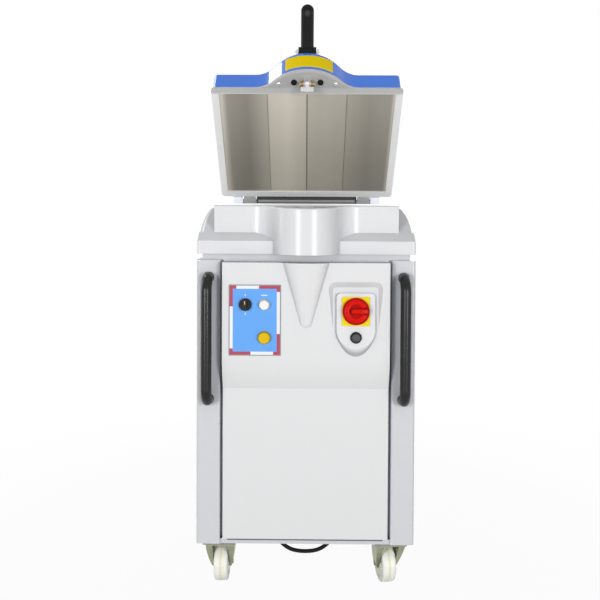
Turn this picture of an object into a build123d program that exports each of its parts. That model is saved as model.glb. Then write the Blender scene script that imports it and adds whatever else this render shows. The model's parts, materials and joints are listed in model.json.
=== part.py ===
"""Hydraulic dough divider on castors, lid open. One solid or group of alike solids per node.

Millimetres. The floor is z = 0, the operator stands at -Y, and x = 0, y = 0 is the middle of
the cabinet. Lid pieces are drawn with the lid shut and then turned about the hinge.
"""

import math
import os

from build123d import *

# Clearances
FIT = 0.3  # between fixed pieces that slip past each other
RUN = 0.05  # radial, shaft in its bore
TOUCH = 0.01  # places nearer than this are one place

# Cabinet
CABINET_WIDTH = 574.0
CABINET_DEPTH = 560.0
BASE_HEIGHT = 134.0  # underside of the base pan above the floor
CABINET_TOP = 884.0
SHEET = 3.0
BEND_RADIUS = 8.0
POST_BEND = 4.5
POST_WIDTH = 63.0
REAR_RETURN = 40.0
TOP_FLANGE = 28.0
REBATE_DEPTH = 18.0  # how far the front panel's seat lies behind the posts
REBATE_FLANGE = 20.0
PAN_RIM = 13.0
LOUVRE_LENGTH = 150.0
LOUVRE_HEIGHT = 6.0
LOUVRE_PITCH = 22.0
LOUVRE_COUNT = 8
LOUVRE_RISE = 126.0  # of the lowest louvre above the base

# Front panel: a flat lower door face under a console that stands further out
PANEL_GAP = 6.5
PANEL_FOOT_GAP = 3.0
PANEL_HEAD_GAP = 5.0
PANEL_WALL = 4.0
PANEL_ROUND = 3.0
PANEL_PROUD = 5.0
CONSOLE_PROUD = 30.0
CONSOLE_ROUND = 150.0
CONSOLE_SLOPE = 24.0  # of the stretch under the console, from upright
CREASE_Z = 548.0
PROW_HALF_WIDTH = 58.0
PROW_REACH = 30.0
PROW_TIP_RADIUS = 16.0
PROW_TIP_Z = 712.0

# Controls on the console, the plate at the left and the main switch at the right
CONTROL_MARGIN = 20.5  # from the panel's side to the plate
CONTROL_PLATE_WIDTH = 130.0
CONTROL_PLATE_LOW = 641.0
CONTROL_PLATE_HIGH = 820.0
CONTROL_PLATE_THICK = 2.0
CONTROL_PLATE_CORNER = 3.0
BUTTON_SPREAD = 24.5  # from the plate's middle line
UPPER_BUTTON_Z = 771.0
LOWER_BUTTON_Z = 686.0
BARREL_RADIUS = 11.0
BARREL_LENGTH = 26.0
STEM_RADIUS = 7.0
BEZEL_HEIGHT = 6.0
BEZEL_FLOOR = 1.5
BEZEL_CHAMFER = 1.2
PRESS_TRAVEL = 4.0
CAP_HEIGHT = 8.0
CAP_ROUND = 2.0
WHITE_RING_RADIUS = 15.0
YELLOW_RING_RADIUS = 17.0
BLACK_RING_RADIUS = 13.0
SELECTOR_RING_RADIUS = 16.5
RING_WALL = 2.6
CONTACT_BLOCK_SIZE = 30.0
CONTACT_BLOCK_LENGTH = 38.0
STEM_END_GAP = 1.0
SELECTOR_DISC_HEIGHT = 5.0
SELECTOR_GRIP_WIDTH = 9.0
SELECTOR_GRIP_HEIGHT = 17.0

# Main switch: a plinth in a recess whose floor leans back at the top
RECESS_TILT = 7.0
RECESS_FOOT_Z = 708.0
SWITCH_MARGIN = 89.0  # from the panel's side to the switch's middle line
RECESS_HALF_WIDTH = 59.0
RECESS_HEIGHT = 108.0
RECESS_CORNER = 8.0
RECESS_CUT = 24.0
RECESS_DRAFT = 42.0
PLINTH_HALF_WIDTH = 50.0
PLINTH_TOP = 93.0  # along the leaning floor, from the recess's foot
PLINTH_TIP = 50.0  # from the recess's foot down to the tip of the face
PLINTH_ROOT_TIP = 76.0  # the same at the root, so that the chin slopes
PLINTH_CORNER = 12.0
PLINTH_HEIGHT = 9.0
PLINTH_ROUND = 1.5
PLINTH_ROOT = 14.0
SWITCH_PLATE_WIDTH = 71.0
SWITCH_PLATE_HEIGHT = 74.0
SWITCH_PLATE_THICK = 3.0
SWITCH_PLATE_CORNER = 2.0
SWITCH_CENTRE = 46.0  # along the leaning floor, from the recess's foot
BLACK_BUTTON_CENTRE = -21.0
SWITCH_KNOB_RADIUS = 35.0
SWITCH_KNOB_DISC = 9.0
SWITCH_GROOVE_RADIUS = 25.0
SWITCH_GROOVE_WIDTH = 3.0
SWITCH_GROOVE_DEPTH = 2.5
SWITCH_GRIP_LENGTH = 44.0
SWITCH_GRIP_WIDTH = 15.0
SWITCH_GRIP_HEIGHT = 21.0
SWITCH_SHAFT_RADIUS = 5.0
SWITCH_BODY_SIZE = 62.0
SWITCH_BODY_LENGTH = 50.0

# Bow handles on the posts
HANDLE_RADIUS = 14.0
HANDLE_HIGH = 838.0
HANDLE_LOW = 519.0
HANDLE_STANDOFF = 46.0
HANDLE_BEND = 34.0
HANDLE_FOOT_RADIUS = 15.0
HANDLE_FOOT_HEIGHT = 4.0

# Top cover
NECK_INSET = 14.0
NECK_HEIGHT = 16.0
SLAB_HEIGHT = 34.0
LEDGE_RISE = 22.0
BLOCK_RISE = 72.0  # of the block above the ledge
COVER_WALL = 5.0
SLAB_CORNER = 8.0
WING_SETBACK = 35.0
NOSE_REACH = 70.0  # beyond the posts
NOSE_HALF_SPAN = 146.0
NOSE_RADIUS = 84.0
NOSE_DROP = 9.0  # the nose's top falls this much from the wings to its tip
BLOCK_ROUND = 5.0
HOOD_DROP = 6.0  # the cheeks lie this much under the block's top
HOOD_LEAN = 105.0  # the cheeks run this far back while they rise from the ledge to the top
HOOD_SIDE_INSET = 2.0
HOOD_SHOULDER_WIDTH = 27.0
HOOD_CORNER = 8.0
HOOD_BROW = 14.0
POCKET_HALF_WIDTH = 25.0
POCKET_LENGTH = 44.0
POCKET_DEPTH = 46.0
POCKET_WALL = 4.0

# Dough tank and the parts that work in it
CELLS_ACROSS = 4
CELLS_DEEP = 4
CELL_DEPTH = 78.0
TANK_WALL = 4.0
TANK_RIM_WIDTH = 8.0
TANK_RIM_HEIGHT = 4.5
TANK_FRONT_MARGIN = 18.0  # from the block's front face to the tank's inner face
TANK_FLANGE = 18.0
RIM_MARGIN = 9.0  # of the cover's top beyond the tank's rim
DOUGH_DEPTH = 100.0
BLOCK_THICK = 18.0
BLOCK_GAP = 4.0  # slot between two pusher blocks, for a knife
WALL_GAP = 1.0
PLATEN_TRAVEL = 95.0
KNIFE_TRAVEL = 96.0
KNIFE_THICK = 2.0
KNIFE_SINK = 2.0
KNIFE_RING_HEIGHT = 20.0
KNIFE_RING_WIDTH = 14.0
KNIFE_RING_MARGIN = 4.0
TRAVEL_MARGIN = 3.0
LAP_GAP = 0.1
STEM_POST_RADIUS = 7.0
CARRIER_THICK = 12.0
CARRIER_MARGIN = 16.0
PISTON_ROD_RADIUS = 22.0
PISTON_RADIUS = 40.0
PISTON_HEIGHT = 30.0
BARREL_WALL = 8.0
BARREL_FLOOR = 10.0
GLAND_HEIGHT = 20.0
GLAND_DROP = 14.0  # from the carrier's underside to the barrel's top
GUIDE_RADIUS = 10.0
GUIDE_BOSS_RADIUS = 18.0
GUIDE_BOSS_HEIGHT = 26.0
KNIFE_ROD_RADIUS = 7.0
KNIFE_BARREL_RADIUS = 20.0
KNIFE_BARREL_HEIGHT = 200.0
KNIFE_ROD_DEPTH = 120.0

# Chassis and power pack
TUBE = 25.0
CHASSIS_MARGIN = 16.7  # from the neck band to the chassis
BRIDGE_Z = 400.0
BRIDGE_THICK = 12.0
BRIDGE_DEPTH = 150.0
OIL_TANK_SIZE = (230.0, 190.0, 190.0)
OIL_TANK_MARGIN = 8.3  # from the chassis to the tank's side
OIL_TANK_Y = 60.0
OIL_TANK_CORNER = 12.0
MOTOR_RADIUS = 68.0
MOTOR_LENGTH = 190.0
MOTOR_X = 130.0
MOTOR_Y = 60.0
MOTOR_FOOT_WIDTH = 110.0
MOTOR_FOOT_HEIGHT = 14.0
MOTOR_FIN_COUNT = 24
MOTOR_FIN_DEPTH = 6.0
MOTOR_FIN_WIDTH = 4.0
MOTOR_COWL_LENGTH = 46.0
PUMP_RADIUS = 42.0
PUMP_LENGTH = 70.0
VALVE_BLOCK_SIZE = (90.0, 60.0, 50.0)
COIL_RADIUS = 18.0
COIL_LENGTH = 50.0
PIPE_RADIUS = 6.0
PIPE_BEND = 24.0
PIPE_PORT_Z = 40.0  # above the bridge
PORT_RADIUS = 12.0
PORT_REACH = 6.0  # beyond the barrel
CONTROL_BOX_SIZE = (300.0, 80.0, 260.0)
CONTROL_BOX_Z = 640.0
CONTROL_BOX_CORNER = 6.0

# Lid
LID_SIDE_OVERHANG = 20.0  # beyond the cover's block
LID_FRONT_OVERHANG = 10.0  # beyond the posts
LID_DEPTH = 410.0
LID_NOSE_REACH = 60.0
LID_NOSE_RADIUS = 134.0
LID_SEAT_GAP = 1.0
FRAME_THICK = 12.0
FRAME_LIP = 4.0  # thickness of the rim under the cover's edge
FRAME_BORDER = 20.0
FRAME_LEDGE = 15.0
FRAME_CORNER = 10.0
PLATE_GAP = 0.5
PLATE_THICK = 5.0
GROOVE_WIDTH = 3.4
GROOVE_DEPTH = 1.5
COVER_LIP = 4.0
LID_HEIGHT = 62.0
LID_CROWN = 18.0
LID_CROWN_RADIUS = 330.0
LID_CROWN_REAR = 0.6
LID_ROUND = 8.0
LID_WALL = 4.0
LID_OPEN = 45.0
HINGE_BEHIND = 39.0
HINGE_RISE = 14.0  # hinge axis above the lid's lower face
HINGE_RADIUS = 10.0
HINGE_EYE_RADIUS = 15.0
ARM_INNER_X = 160.0
ARM_WIDTH = 38.0
ARM_THICK = 12.0
HINGE_BLOCK_WIDTH = 29.0
HINGE_BLOCK_DEPTH = 36.0
HINGE_BLOCK_RISE = 18.0
HINGE_GAP = 3.0
SPRING_BOX_DEPTH = 34.0
SPRING_BOX_LIP = 4.0

# Lid latch and handle
NOSE_PLATE_THICK = 2.0
NOSE_PLATE_MARGIN = 8.0
LATCH_BEHIND_NOSE = 40.0
LATCH_DROP = 10.0  # pivot pin below the lid's lower face
LATCH_PIN_RADIUS = 4.0
LATCH_COLUMN = 10.0
LATCH_LENGTH = 27.0
LATCH_BAR_WIDTH = 35.0
LATCH_BAR = 9.0
LATCH_EYE_RADIUS = 8.0
LUG_THICK = 4.0
LUG_GAP = 0.6
LUG_RADIUS = 8.0
LATCH_PIN_HEAD = 9.0
STRIKER_LIP = 2.5  # behind which the latch bar passes
STRIKER_THICK = 5.0
STRIKER_CLEARANCE = 3.0
STRIKER_NOTCH = 16.0
BUFFER_RADIUS = 8.0
BUFFER_HEIGHT = 6.0
BUFFER_X = 36.0
HUB_BEHIND_NOSE = 24.0
HUB_RADIUS = 19.0
HUB_WIDTH = 50.0
HUB_RISE = 20.5  # hub axis above the crown
HUB_CLEARANCE = 1.0
EAR_THICK = 6.0
EAR_RADIUS = 13.0
LEVER_LENGTH = 117.0
LEVER_WIDTH = 36.0
LEVER_THICK = 22.0
LEVER_ROUND = 6.0
LEVER_RISE = 40.0
LEVER_DIMPLE_LENGTH = 27.0
LEVER_DIMPLE_WIDTH = 19.0
LEVER_DIMPLE_DEPTH = 5.0
LEVER_PIN_RADIUS = 6.0

# Castors
WHEEL_RADIUS = 50.0
WHEEL_WIDTH = 38.0
WHEEL_ROUND = 7.0
WHEEL_DISH_RADIUS = 36.0
WHEEL_DISH_DEPTH = 5.0
WHEEL_HUB_RADIUS = 15.0
AXLE_RADIUS = 6.0
AXLE_CLEARANCE = 0.1
CASTOR_SIDE = 60.0  # from the cabinet's side to the kingpin
CASTOR_END = 52.0  # from the cabinet's front or back to the kingpin
CASTOR_TRAIL = 36.0
CASTOR_PLATE_LENGTH = 100.0
CASTOR_PLATE_WIDTH = 85.0
CASTOR_PLATE_THICK = 4.0
KINGPIN_RADIUS = 6.0
RACE_RADIUS = 31.0
RACE_HEIGHT = 8.0
FORK_GAP = 2.0
FORK_TOP_HALF_WIDTH = 38.0
FORK_BOW_HALF_WIDTH = 34.5
FORK_FOOT_HALF_WIDTH = 24.5
FORK_CROWN = 4.0
FORK_EYE_RADIUS = 14.0
FORK_BACK = 30.0
FRONT_RIGHT_TURN = 10.0

# Hose loop under the base, and the mains gland
HOSE_DIAMETER = 11.0
HOSE_BACK = 161.0  # behind the posts' front
HOSE_POINTS = [(83, 0), (83, 33), (65, 64), (30, 84), (-30, 84), (-65, 64), (-83, 33), (-83, 0)]
HOSE_RUN_SHARE = 0.45
FITTING_RADIUS = 11.0
FITTING_NECK_RADIUS = 8.0
FITTING_FLANGE = 5.0
FITTING_RISE = 22.0
GLAND_X = 160.0
GLAND_RISE = 86.0  # above the base
GLAND_BORE_RADIUS = 6.5
GLAND_BODY_RADIUS = 12.0
GLAND_NUT_RADIUS = 15.0
GLAND_LENGTH = 24.0
GLAND_NUT_HEIGHT = 8.0

# Places worked out from the sizes above
HALF = CABINET_WIDTH / 2
FRONT = -CABINET_DEPTH / 2
BACK = CABINET_DEPTH / 2
COVER_BASE = CABINET_TOP + NECK_HEIGHT
SLAB_TOP = COVER_BASE + SLAB_HEIGHT
LEDGE_TOP = SLAB_TOP + LEDGE_RISE
COVER_TOP = LEDGE_TOP + BLOCK_RISE
PAN_FLOOR = BASE_HEIGHT + SHEET
PAN_TOP = BASE_HEIGHT + PAN_RIM
PANEL_HALF = HALF - POST_WIDTH - PANEL_GAP
PANEL_FOOT = PAN_TOP + PANEL_FOOT_GAP
PANEL_HEAD = CABINET_TOP - PANEL_HEAD_GAP
PANEL_BACK = FRONT + REBATE_DEPTH
PANEL_FACE = FRONT - PANEL_PROUD
CONSOLE_FACE = FRONT - CONSOLE_PROUD
CONTROL_X = PANEL_HALF - CONTROL_MARGIN - CONTROL_PLATE_WIDTH / 2
SWITCH_X = PANEL_HALF - SWITCH_MARGIN
CASTOR_X = HALF - CASTOR_SIDE
CASTOR_Y = BACK - CASTOR_END
WING_Y = FRONT + WING_SETBACK
NOSE_Y = FRONT - NOSE_REACH
HOOD_TOP = COVER_TOP - HOOD_DROP
CHASSIS_INSIDE = HALF - (NECK_INSET + SHEET + CHASSIS_MARGIN + TUBE)
TANK_WIDTH = 2 * (CHASSIS_INSIDE - FIT - TANK_WALL)
CELL_WIDTH = TANK_WIDTH / CELLS_ACROSS
BLOCK_WIDTH = TANK_WIDTH + 2 * (TANK_WALL + TANK_RIM_WIDTH + RIM_MARGIN)
LID_WIDTH = BLOCK_WIDTH + 2 * LID_SIDE_OVERHANG
TANK_DEPTH = CELLS_DEEP * CELL_DEPTH
TANK_FRONT = WING_Y + TANK_FRONT_MARGIN
TANK_Y = TANK_FRONT + TANK_DEPTH / 2
BLOCK_REAR = TANK_Y + TANK_DEPTH / 2 + TANK_WALL + TANK_RIM_WIDTH + RIM_MARGIN
RIM_TOP = COVER_TOP + TANK_RIM_HEIGHT
PLATEN_TOP = RIM_TOP - DOUGH_DEPTH
PLATEN_LOW = PLATEN_TOP - BLOCK_THICK
RING_TOP = PLATEN_LOW - KNIFE_TRAVEL - TRAVEL_MARGIN
RING_LOW = RING_TOP - KNIFE_RING_HEIGHT
CARRIER_TOP = RING_LOW - PLATEN_TRAVEL - TRAVEL_MARGIN
CARRIER_LOW = CARRIER_TOP - CARRIER_THICK
CHASSIS_TOP = PLATEN_LOW - TRAVEL_MARGIN - TANK_WALL
BRIDGE_TOP = BRIDGE_Z + BRIDGE_THICK
LIFT_TOP = CARRIER_LOW - GLAND_DROP
KNIFE_ROD_X = TANK_WIDTH / 2 - KNIFE_RING_MARGIN - KNIFE_RING_WIDTH / 2
LID_LOW = COVER_TOP + LID_SEAT_GAP
LID_FRONT = FRONT - LID_FRONT_OVERHANG
LID_REAR = LID_FRONT + LID_DEPTH
LID_NOSE_Y = LID_FRONT - LID_NOSE_REACH
LIP_TOP = LID_LOW + FRAME_LIP
FRAME_TOP = LID_LOW + FRAME_THICK
LID_TOP = FRAME_TOP + LID_HEIGHT
PLATE_LOW = RIM_TOP + PLATE_GAP
HINGE_Y = LID_REAR + HINGE_BEHIND
HINGE_Z = LID_LOW + HINGE_RISE
HINGE_AXIS = Axis((0, HINGE_Y, HINGE_Z), (1, 0, 0))
LATCH_Y = LID_NOSE_Y + LATCH_BEHIND_NOSE
LATCH_Z = LID_LOW - LATCH_DROP
HUB_Y = LID_NOSE_Y + HUB_BEHIND_NOSE
HUB_Z = LID_TOP + LID_CROWN + HUB_RISE
HOSE_Y = FRONT + HOSE_BACK
OIL_TANK_X = OIL_TANK_MARGIN + OIL_TANK_SIZE[0] / 2 - CHASSIS_INSIDE
GLAND_Z = BASE_HEIGHT + GLAND_RISE


def box_between(low, high):
    """A box from its lowest to its highest corner."""
    size = Vector(*high) - Vector(*low)
    middle = (Vector(*high) + Vector(*low)) * 0.5
    return Pos(*middle) * Box(size.X, size.Y, size.Z)


def disc(radius, low, high):
    """An upright cylinder about the z axis, between two heights."""
    return Pos(0, 0, (low + high) / 2) * Cylinder(radius, high - low)


def bar_along_x(radius, half_length, y, z):
    """A round bar across the machine."""
    return Pos(0, y, z) * Rot(0, 90, 0) * Cylinder(radius, 2 * half_length)


def both_sides(solid):
    """The solid and its mirror image in the machine's middle plane."""
    return [solid, mirror(solid, about=Plane.YZ)]


def opened(solid):
    """A lid piece, turned from shut to open about the hinge."""
    return solid.rotate(HINGE_AXIS, -LID_OPEN)


def ogee_edges(half_span, base, peak, peak_radius):
    """A hollow curve, a round peak and a hollow curve, tangent to each other and to the base line."""
    side = math.copysign(1, peak - base)
    reach = abs(peak - base)
    radius_sum = (half_span**2 + reach**2) / (2 * reach)
    hollow_radius = radius_sum - peak_radius
    peak_centre = Vector(0, peak - side * peak_radius)
    hollow_centre = Vector(half_span, base + side * hollow_radius)
    towards = (hollow_centre - peak_centre) * (1 / radius_sum)
    join = peak_centre + towards * peak_radius
    half_way = (Vector(0, -side) - towards).normalized()
    hollow = hollow_centre + half_way * hollow_radius
    return [
        ThreePointArc((-half_span, base), (-hollow.X, hollow.Y), (-join.X, join.Y)),
        ThreePointArc((-join.X, join.Y), (0, peak), (join.X, join.Y)),
        ThreePointArc((join.X, join.Y), (hollow.X, hollow.Y), (half_span, base)),
    ]


def touch_point(centre, radius, outside):
    """Where a line from an outside point touches a circle, on the circle's right-hand underside."""
    reach = outside - centre
    turn = math.degrees(math.acos(radius / reach.length))
    return centre + reach.normalized().rotate(Axis.Z, -turn) * radius


def nosed_plan(half_width, wing_y, rear_y, nose_y, nose_radius):
    """Plan of a block with straight wings, hollow curves and a round nose at its front."""
    rim = Polyline(
        (NOSE_HALF_SPAN, wing_y),
        (half_width, wing_y),
        (half_width, rear_y),
        (-half_width, rear_y),
        (-half_width, wing_y),
        (-NOSE_HALF_SPAN, wing_y),
    )
    return make_face([rim.edges(), *ogee_edges(NOSE_HALF_SPAN, wing_y, nose_y, nose_radius)])


def standing(plan, low, high):
    """A plan drawn on z = 0, raised between two heights."""
    return Pos(0, 0, low) * extrude(plan, high - low)


def edges_at(solid, low, high, axis=Axis.Z):
    """The edges whose middle lies between two places along an axis."""
    return solid.edges().filter_by_position(axis, low - TOUCH, high + TOUCH)


# Cabinet


def base_pan():
    half = HALF - SHEET - FIT
    low = FRONT + SHEET + FIT
    high = BACK - SHEET - FIT
    tray = box_between((-half, low, BASE_HEIGHT), (half, high, PAN_TOP))
    tray = fillet(tray.edges().filter_by(Axis.Z), BEND_RADIUS - SHEET)
    hollow = box_between((SHEET - half, low + SHEET, PAN_FLOOR), (half - SHEET, high - SHEET, CABINET_TOP))
    pan = tray - hollow
    for x, _ in (HOSE_POINTS[0], HOSE_POINTS[-1]):
        pan -= Pos(x, HOSE_Y, 0) * disc(FITTING_NECK_RADIUS + FIT, BASE_HEIGHT, PAN_FLOOR)
    return pan


def bent_sheet(points, radii):
    """Plan of a sheet bent along its outer face, which runs through the points."""
    outer = FilletPolyline(points, radius=radii)
    return make_face(offset(outer, SHEET, side=Side.RIGHT).edges())


def side_panel():
    """The right-hand side panel with its front post, rebate, rear return and top flange."""
    post = HALF - POST_WIDTH
    skin = [(HALF - REAR_RETURN, BACK), (HALF, BACK), (HALF, FRONT), (post, FRONT)]
    rebate = [(post, PANEL_BACK), (post - REBATE_FLANGE, PANEL_BACK)]
    outer_bends = [BEND_RADIUS] * (len(skin) - 2)
    panel = standing(bent_sheet(skin, outer_bends), BASE_HEIGHT, PAN_TOP)
    all_bends = [*outer_bends, POST_BEND, BEND_RADIUS - SHEET]
    panel += standing(bent_sheet([*skin, *rebate], all_bends), PAN_TOP, CABINET_TOP)
    rim = FilletPolyline([*skin, rebate[0]], radius=[*outer_bends, POST_BEND])
    filled = make_face([rim.edges(), Line(rim @ 1, rim @ 0)])
    flange = box_between((HALF - TOP_FLANGE, FRONT, 0), (HALF, BACK, SHEET))
    flange += box_between((post, FRONT, 0), (HALF, PANEL_BACK, SHEET))
    return panel + Pos(0, 0, CABINET_TOP - SHEET) * (flange & extrude(filled, SHEET))


def rear_panel():
    half = HALF - BEND_RADIUS
    panel = box_between((-half, BACK, PAN_TOP), (half, BACK + SHEET, CABINET_TOP))
    louvre = Rot(90, 0, 0) * extrude(SlotOverall(LOUVRE_LENGTH, LOUVRE_HEIGHT), SHEET, both=True)
    for row in range(LOUVRE_COUNT):
        height = BASE_HEIGHT + LOUVRE_RISE + row * LOUVRE_PITCH
        panel -= [Pos(x, BACK + SHEET / 2, height) * louvre for x in (-LOUVRE_LENGTH / 2 - LOUVRE_PITCH, 0)]
    gland_hole = Rot(90, 0, 0) * Cylinder(GLAND_BODY_RADIUS + FIT, 2 * SHEET)
    return panel - Pos(GLAND_X, BACK + SHEET / 2, GLAND_Z) * gland_hole


def neck_band():
    """The band under the cover, with a skirt that closes the gap above the front panel."""
    half = HALF - NECK_INSET
    low = FRONT + NECK_INSET
    high = BACK - NECK_INSET
    outside = box_between((-half, low, CABINET_TOP), (half, high, COVER_BASE))
    inside = box_between((SHEET - half, low + SHEET, CABINET_TOP), (half - SHEET, high - SHEET, COVER_BASE))
    skirt = box_between((-PANEL_HALF, low, PANEL_HEAD + FIT), (PANEL_HALF, low + SHEET, CABINET_TOP))
    return outside - inside + skirt


# Front panel and console


def panel_profile(inset, back):
    """Side view of the front panel as (y, z), drawn in from its outer face by an inset."""
    face = PANEL_FACE + inset
    console = CONSOLE_FACE + inset
    slope = math.radians(CONSOLE_SLOPE)
    radius = CONSOLE_ROUND - inset
    crease = CREASE_Z + inset * math.tan(slope / 2)
    corner = crease + (face - console) / math.tan(slope)
    tangent = radius * math.tan(slope / 2)
    slope_end = Vector(console, corner) + Vector(math.sin(slope), -math.cos(slope)) * tangent
    centre = Vector(console + radius, corner + tangent)
    middle = centre + Vector(-1, 0).rotate(Axis.Z, CONSOLE_SLOPE / 2) * radius
    start = (console, corner + tangent)
    lower = Polyline(
        start,
        (console, PANEL_HEAD - inset),
        (back, PANEL_HEAD - inset),
        (back, PANEL_FOOT + inset),
        (face, PANEL_FOOT + inset),
        (face, crease),
        slope_end,
    )
    return make_face([lower.edges(), ThreePointArc(slope_end, middle, start)])


def across(profile, half_width):
    """A side view given as (y, z), extruded across the machine."""
    return Plane.YZ * extrude(profile, half_width, both=True)


def switch_plane(lift=0.0):
    """The leaning floor of the switch recess: u along x, v up the floor, w outwards."""
    tilt = math.radians(RECESS_TILT)
    normal = Vector(0, -math.cos(tilt), math.sin(tilt))
    foot = Vector(SWITCH_X, CONSOLE_FACE, RECESS_FOOT_Z) + normal * lift
    return Plane(foot, x_dir=(1, 0, 0), z_dir=normal).location


def switch_axis():
    """The axis that points out of the leaning floor."""
    place = switch_plane()
    return Axis(place.position, Plane(place).z_dir)


def recess(grow):
    """What the recess takes away in front of its floor, grown all round by a wall."""
    half = RECESS_HALF_WIDTH + grow
    corner = RECESS_CORNER + grow
    outline = Pos(0, RECESS_HEIGHT / 2) * RectangleRounded(2 * half, RECESS_HEIGHT + 2 * grow, corner)
    outline += Pos(0, RECESS_HEIGHT / 4) * Rectangle(2 * half, RECESS_HEIGHT / 2 + 2 * grow)
    return switch_plane(-grow) * extrude(outline, RECESS_CUT, taper=-RECESS_DRAFT)


def prow():
    """The half-cone under the nose, from a blunt tip out to the panel's head."""
    centre = Vector(0, PROW_TIP_Z + PROW_TIP_RADIUS)
    touch = touch_point(centre, PROW_TIP_RADIUS, Vector(PROW_HALF_WIDTH, PANEL_HEAD))
    half_turn = Vector(touch.X, touch.Y - centre.Y).get_angle(Vector(0, -1)) / 2
    middle = centre + Vector(0, -PROW_TIP_RADIUS).rotate(Axis.Z, half_turn)
    sides = Polyline(touch, (PROW_HALF_WIDTH, PANEL_HEAD), (0, PANEL_HEAD), (0, PROW_TIP_Z))
    half = make_face([sides.edges(), ThreePointArc((0, PROW_TIP_Z), middle, touch)])
    cone = scale(revolve(Plane.XZ * half, Axis.Z), by=(1, PROW_REACH / PROW_HALF_WIDTH, 1))
    behind = (PROW_HALF_WIDTH, PROW_REACH, PANEL_HEAD)
    cone -= box_between((-PROW_HALF_WIDTH, PANEL_WALL / 2, PROW_TIP_Z), behind)
    return Pos(0, CONSOLE_FACE, 0) * cone


def panel_block():
    """The front panel as a full block with its recess, before it is hollowed."""
    block = across(panel_profile(0, PANEL_BACK), PANEL_HALF)
    sides = block.faces().filter_by(Axis.X)
    front_edges = [edge for edge in sides.edges() if is_front_edge(edge)]
    return fillet(front_edges, PANEL_ROUND) + prow() - recess(0)


def is_front_edge(edge):
    """Whether an edge runs up the panel's face, not along its head, foot or back."""
    box = edge.bounding_box()
    return box.size.Z > FIT and box.max.Y < PANEL_BACK - FIT


def front_panel():
    inside = across(panel_profile(PANEL_WALL, PANEL_BACK + PANEL_WALL), PANEL_HALF - PANEL_WALL)
    panel = panel_block() - (inside - recess(PANEL_WALL))
    for plane, radius in control_holes():
        panel -= plane * disc(radius + FIT, -BARREL_LENGTH, BARREL_LENGTH)
    return panel


# Controls


def console_plane(x, z):
    """A place on the control plate: u along x, v up, w outwards."""
    place = (x, CONSOLE_FACE - CONTROL_PLATE_THICK, z)
    return Plane(place, x_dir=(1, 0, 0), z_dir=(0, -1, 0)).location


def selector_place():
    return console_plane(-CONTROL_X - BUTTON_SPREAD, UPPER_BUTTON_Z)


def white_place():
    return console_plane(-CONTROL_X + BUTTON_SPREAD, UPPER_BUTTON_Z)


def yellow_place():
    return console_plane(-CONTROL_X + BUTTON_SPREAD, LOWER_BUTTON_Z)


def black_place():
    return switch_plane(PLINTH_HEIGHT) * Pos(0, BLACK_BUTTON_CENTRE, 0)


def switch_place():
    return switch_plane(PLINTH_HEIGHT + SWITCH_PLATE_THICK) * Pos(0, SWITCH_CENTRE, 0)


def control_holes():
    """The holes through the front panel: each place and its radius."""
    places = [selector_place(), white_place(), yellow_place(), black_place()]
    holes = [(place, BARREL_RADIUS) for place in places]
    return [*holes, (switch_place(), SWITCH_SHAFT_RADIUS)]


def control_plate():
    height = CONTROL_PLATE_HIGH - CONTROL_PLATE_LOW
    outline = RectangleRounded(CONTROL_PLATE_WIDTH, height, CONTROL_PLATE_CORNER)
    middle = (CONTROL_PLATE_HIGH + CONTROL_PLATE_LOW) / 2
    plate = console_plane(-CONTROL_X, middle) * extrude(outline, -CONTROL_PLATE_THICK)
    for place in (selector_place(), white_place(), yellow_place()):
        plate -= place * disc(BARREL_RADIUS + FIT, -BARREL_LENGTH, BARREL_LENGTH)
    return plate


def bezel(place, ring_radius):
    """A button's ring with its threaded barrel, bored for the stem."""
    ring = disc(ring_radius, 0, BEZEL_HEIGHT)
    ring = chamfer(edges_at(ring, BEZEL_HEIGHT, BEZEL_HEIGHT), BEZEL_CHAMFER)
    ring -= disc(ring_radius - RING_WALL, BEZEL_FLOOR, BEZEL_HEIGHT)
    ring += disc(BARREL_RADIUS, -BARREL_LENGTH, 0)
    ring -= disc(STEM_RADIUS + RUN, -BARREL_LENGTH, BEZEL_HEIGHT)
    return place * ring


def button_bezels():
    return [
        bezel(selector_place(), SELECTOR_RING_RADIUS),
        bezel(white_place(), WHITE_RING_RADIUS),
        bezel(yellow_place(), YELLOW_RING_RADIUS),
        bezel(black_place(), BLACK_RING_RADIUS),
    ]


def button_stem():
    return disc(STEM_RADIUS, PRESS_TRAVEL + STEM_END_GAP - BARREL_LENGTH, BEZEL_FLOOR + PRESS_TRAVEL)


def press_cap(place, ring_radius):
    """A push button: its cap stands off the bezel's floor by its travel."""
    low = BEZEL_FLOOR + PRESS_TRAVEL
    cap = disc(ring_radius - RING_WALL - FIT, low, low + CAP_HEIGHT)
    cap = fillet(edges_at(cap, low + CAP_HEIGHT, low + CAP_HEIGHT), CAP_ROUND)
    return place * (cap + button_stem())


def selector_knob():
    """A disc with a raised bar grip."""
    radius = SELECTOR_RING_RADIUS - RING_WALL - FIT
    low = BEZEL_FLOOR + FIT
    knob = disc(radius, low, BEZEL_HEIGHT + SELECTOR_DISC_HEIGHT)
    grip_low = BEZEL_HEIGHT
    bar = box_between(
        (-SELECTOR_GRIP_WIDTH / 2, -radius, grip_low),
        (SELECTOR_GRIP_WIDTH / 2, radius, grip_low + SELECTOR_GRIP_HEIGHT),
    )
    bar &= disc(radius, grip_low, grip_low + SELECTOR_GRIP_HEIGHT)
    bar = fillet(edges_at(bar, grip_low + SELECTOR_GRIP_HEIGHT, grip_low + SELECTOR_GRIP_HEIGHT), CAP_ROUND)
    return selector_place() * (knob + bar + button_stem())


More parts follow.
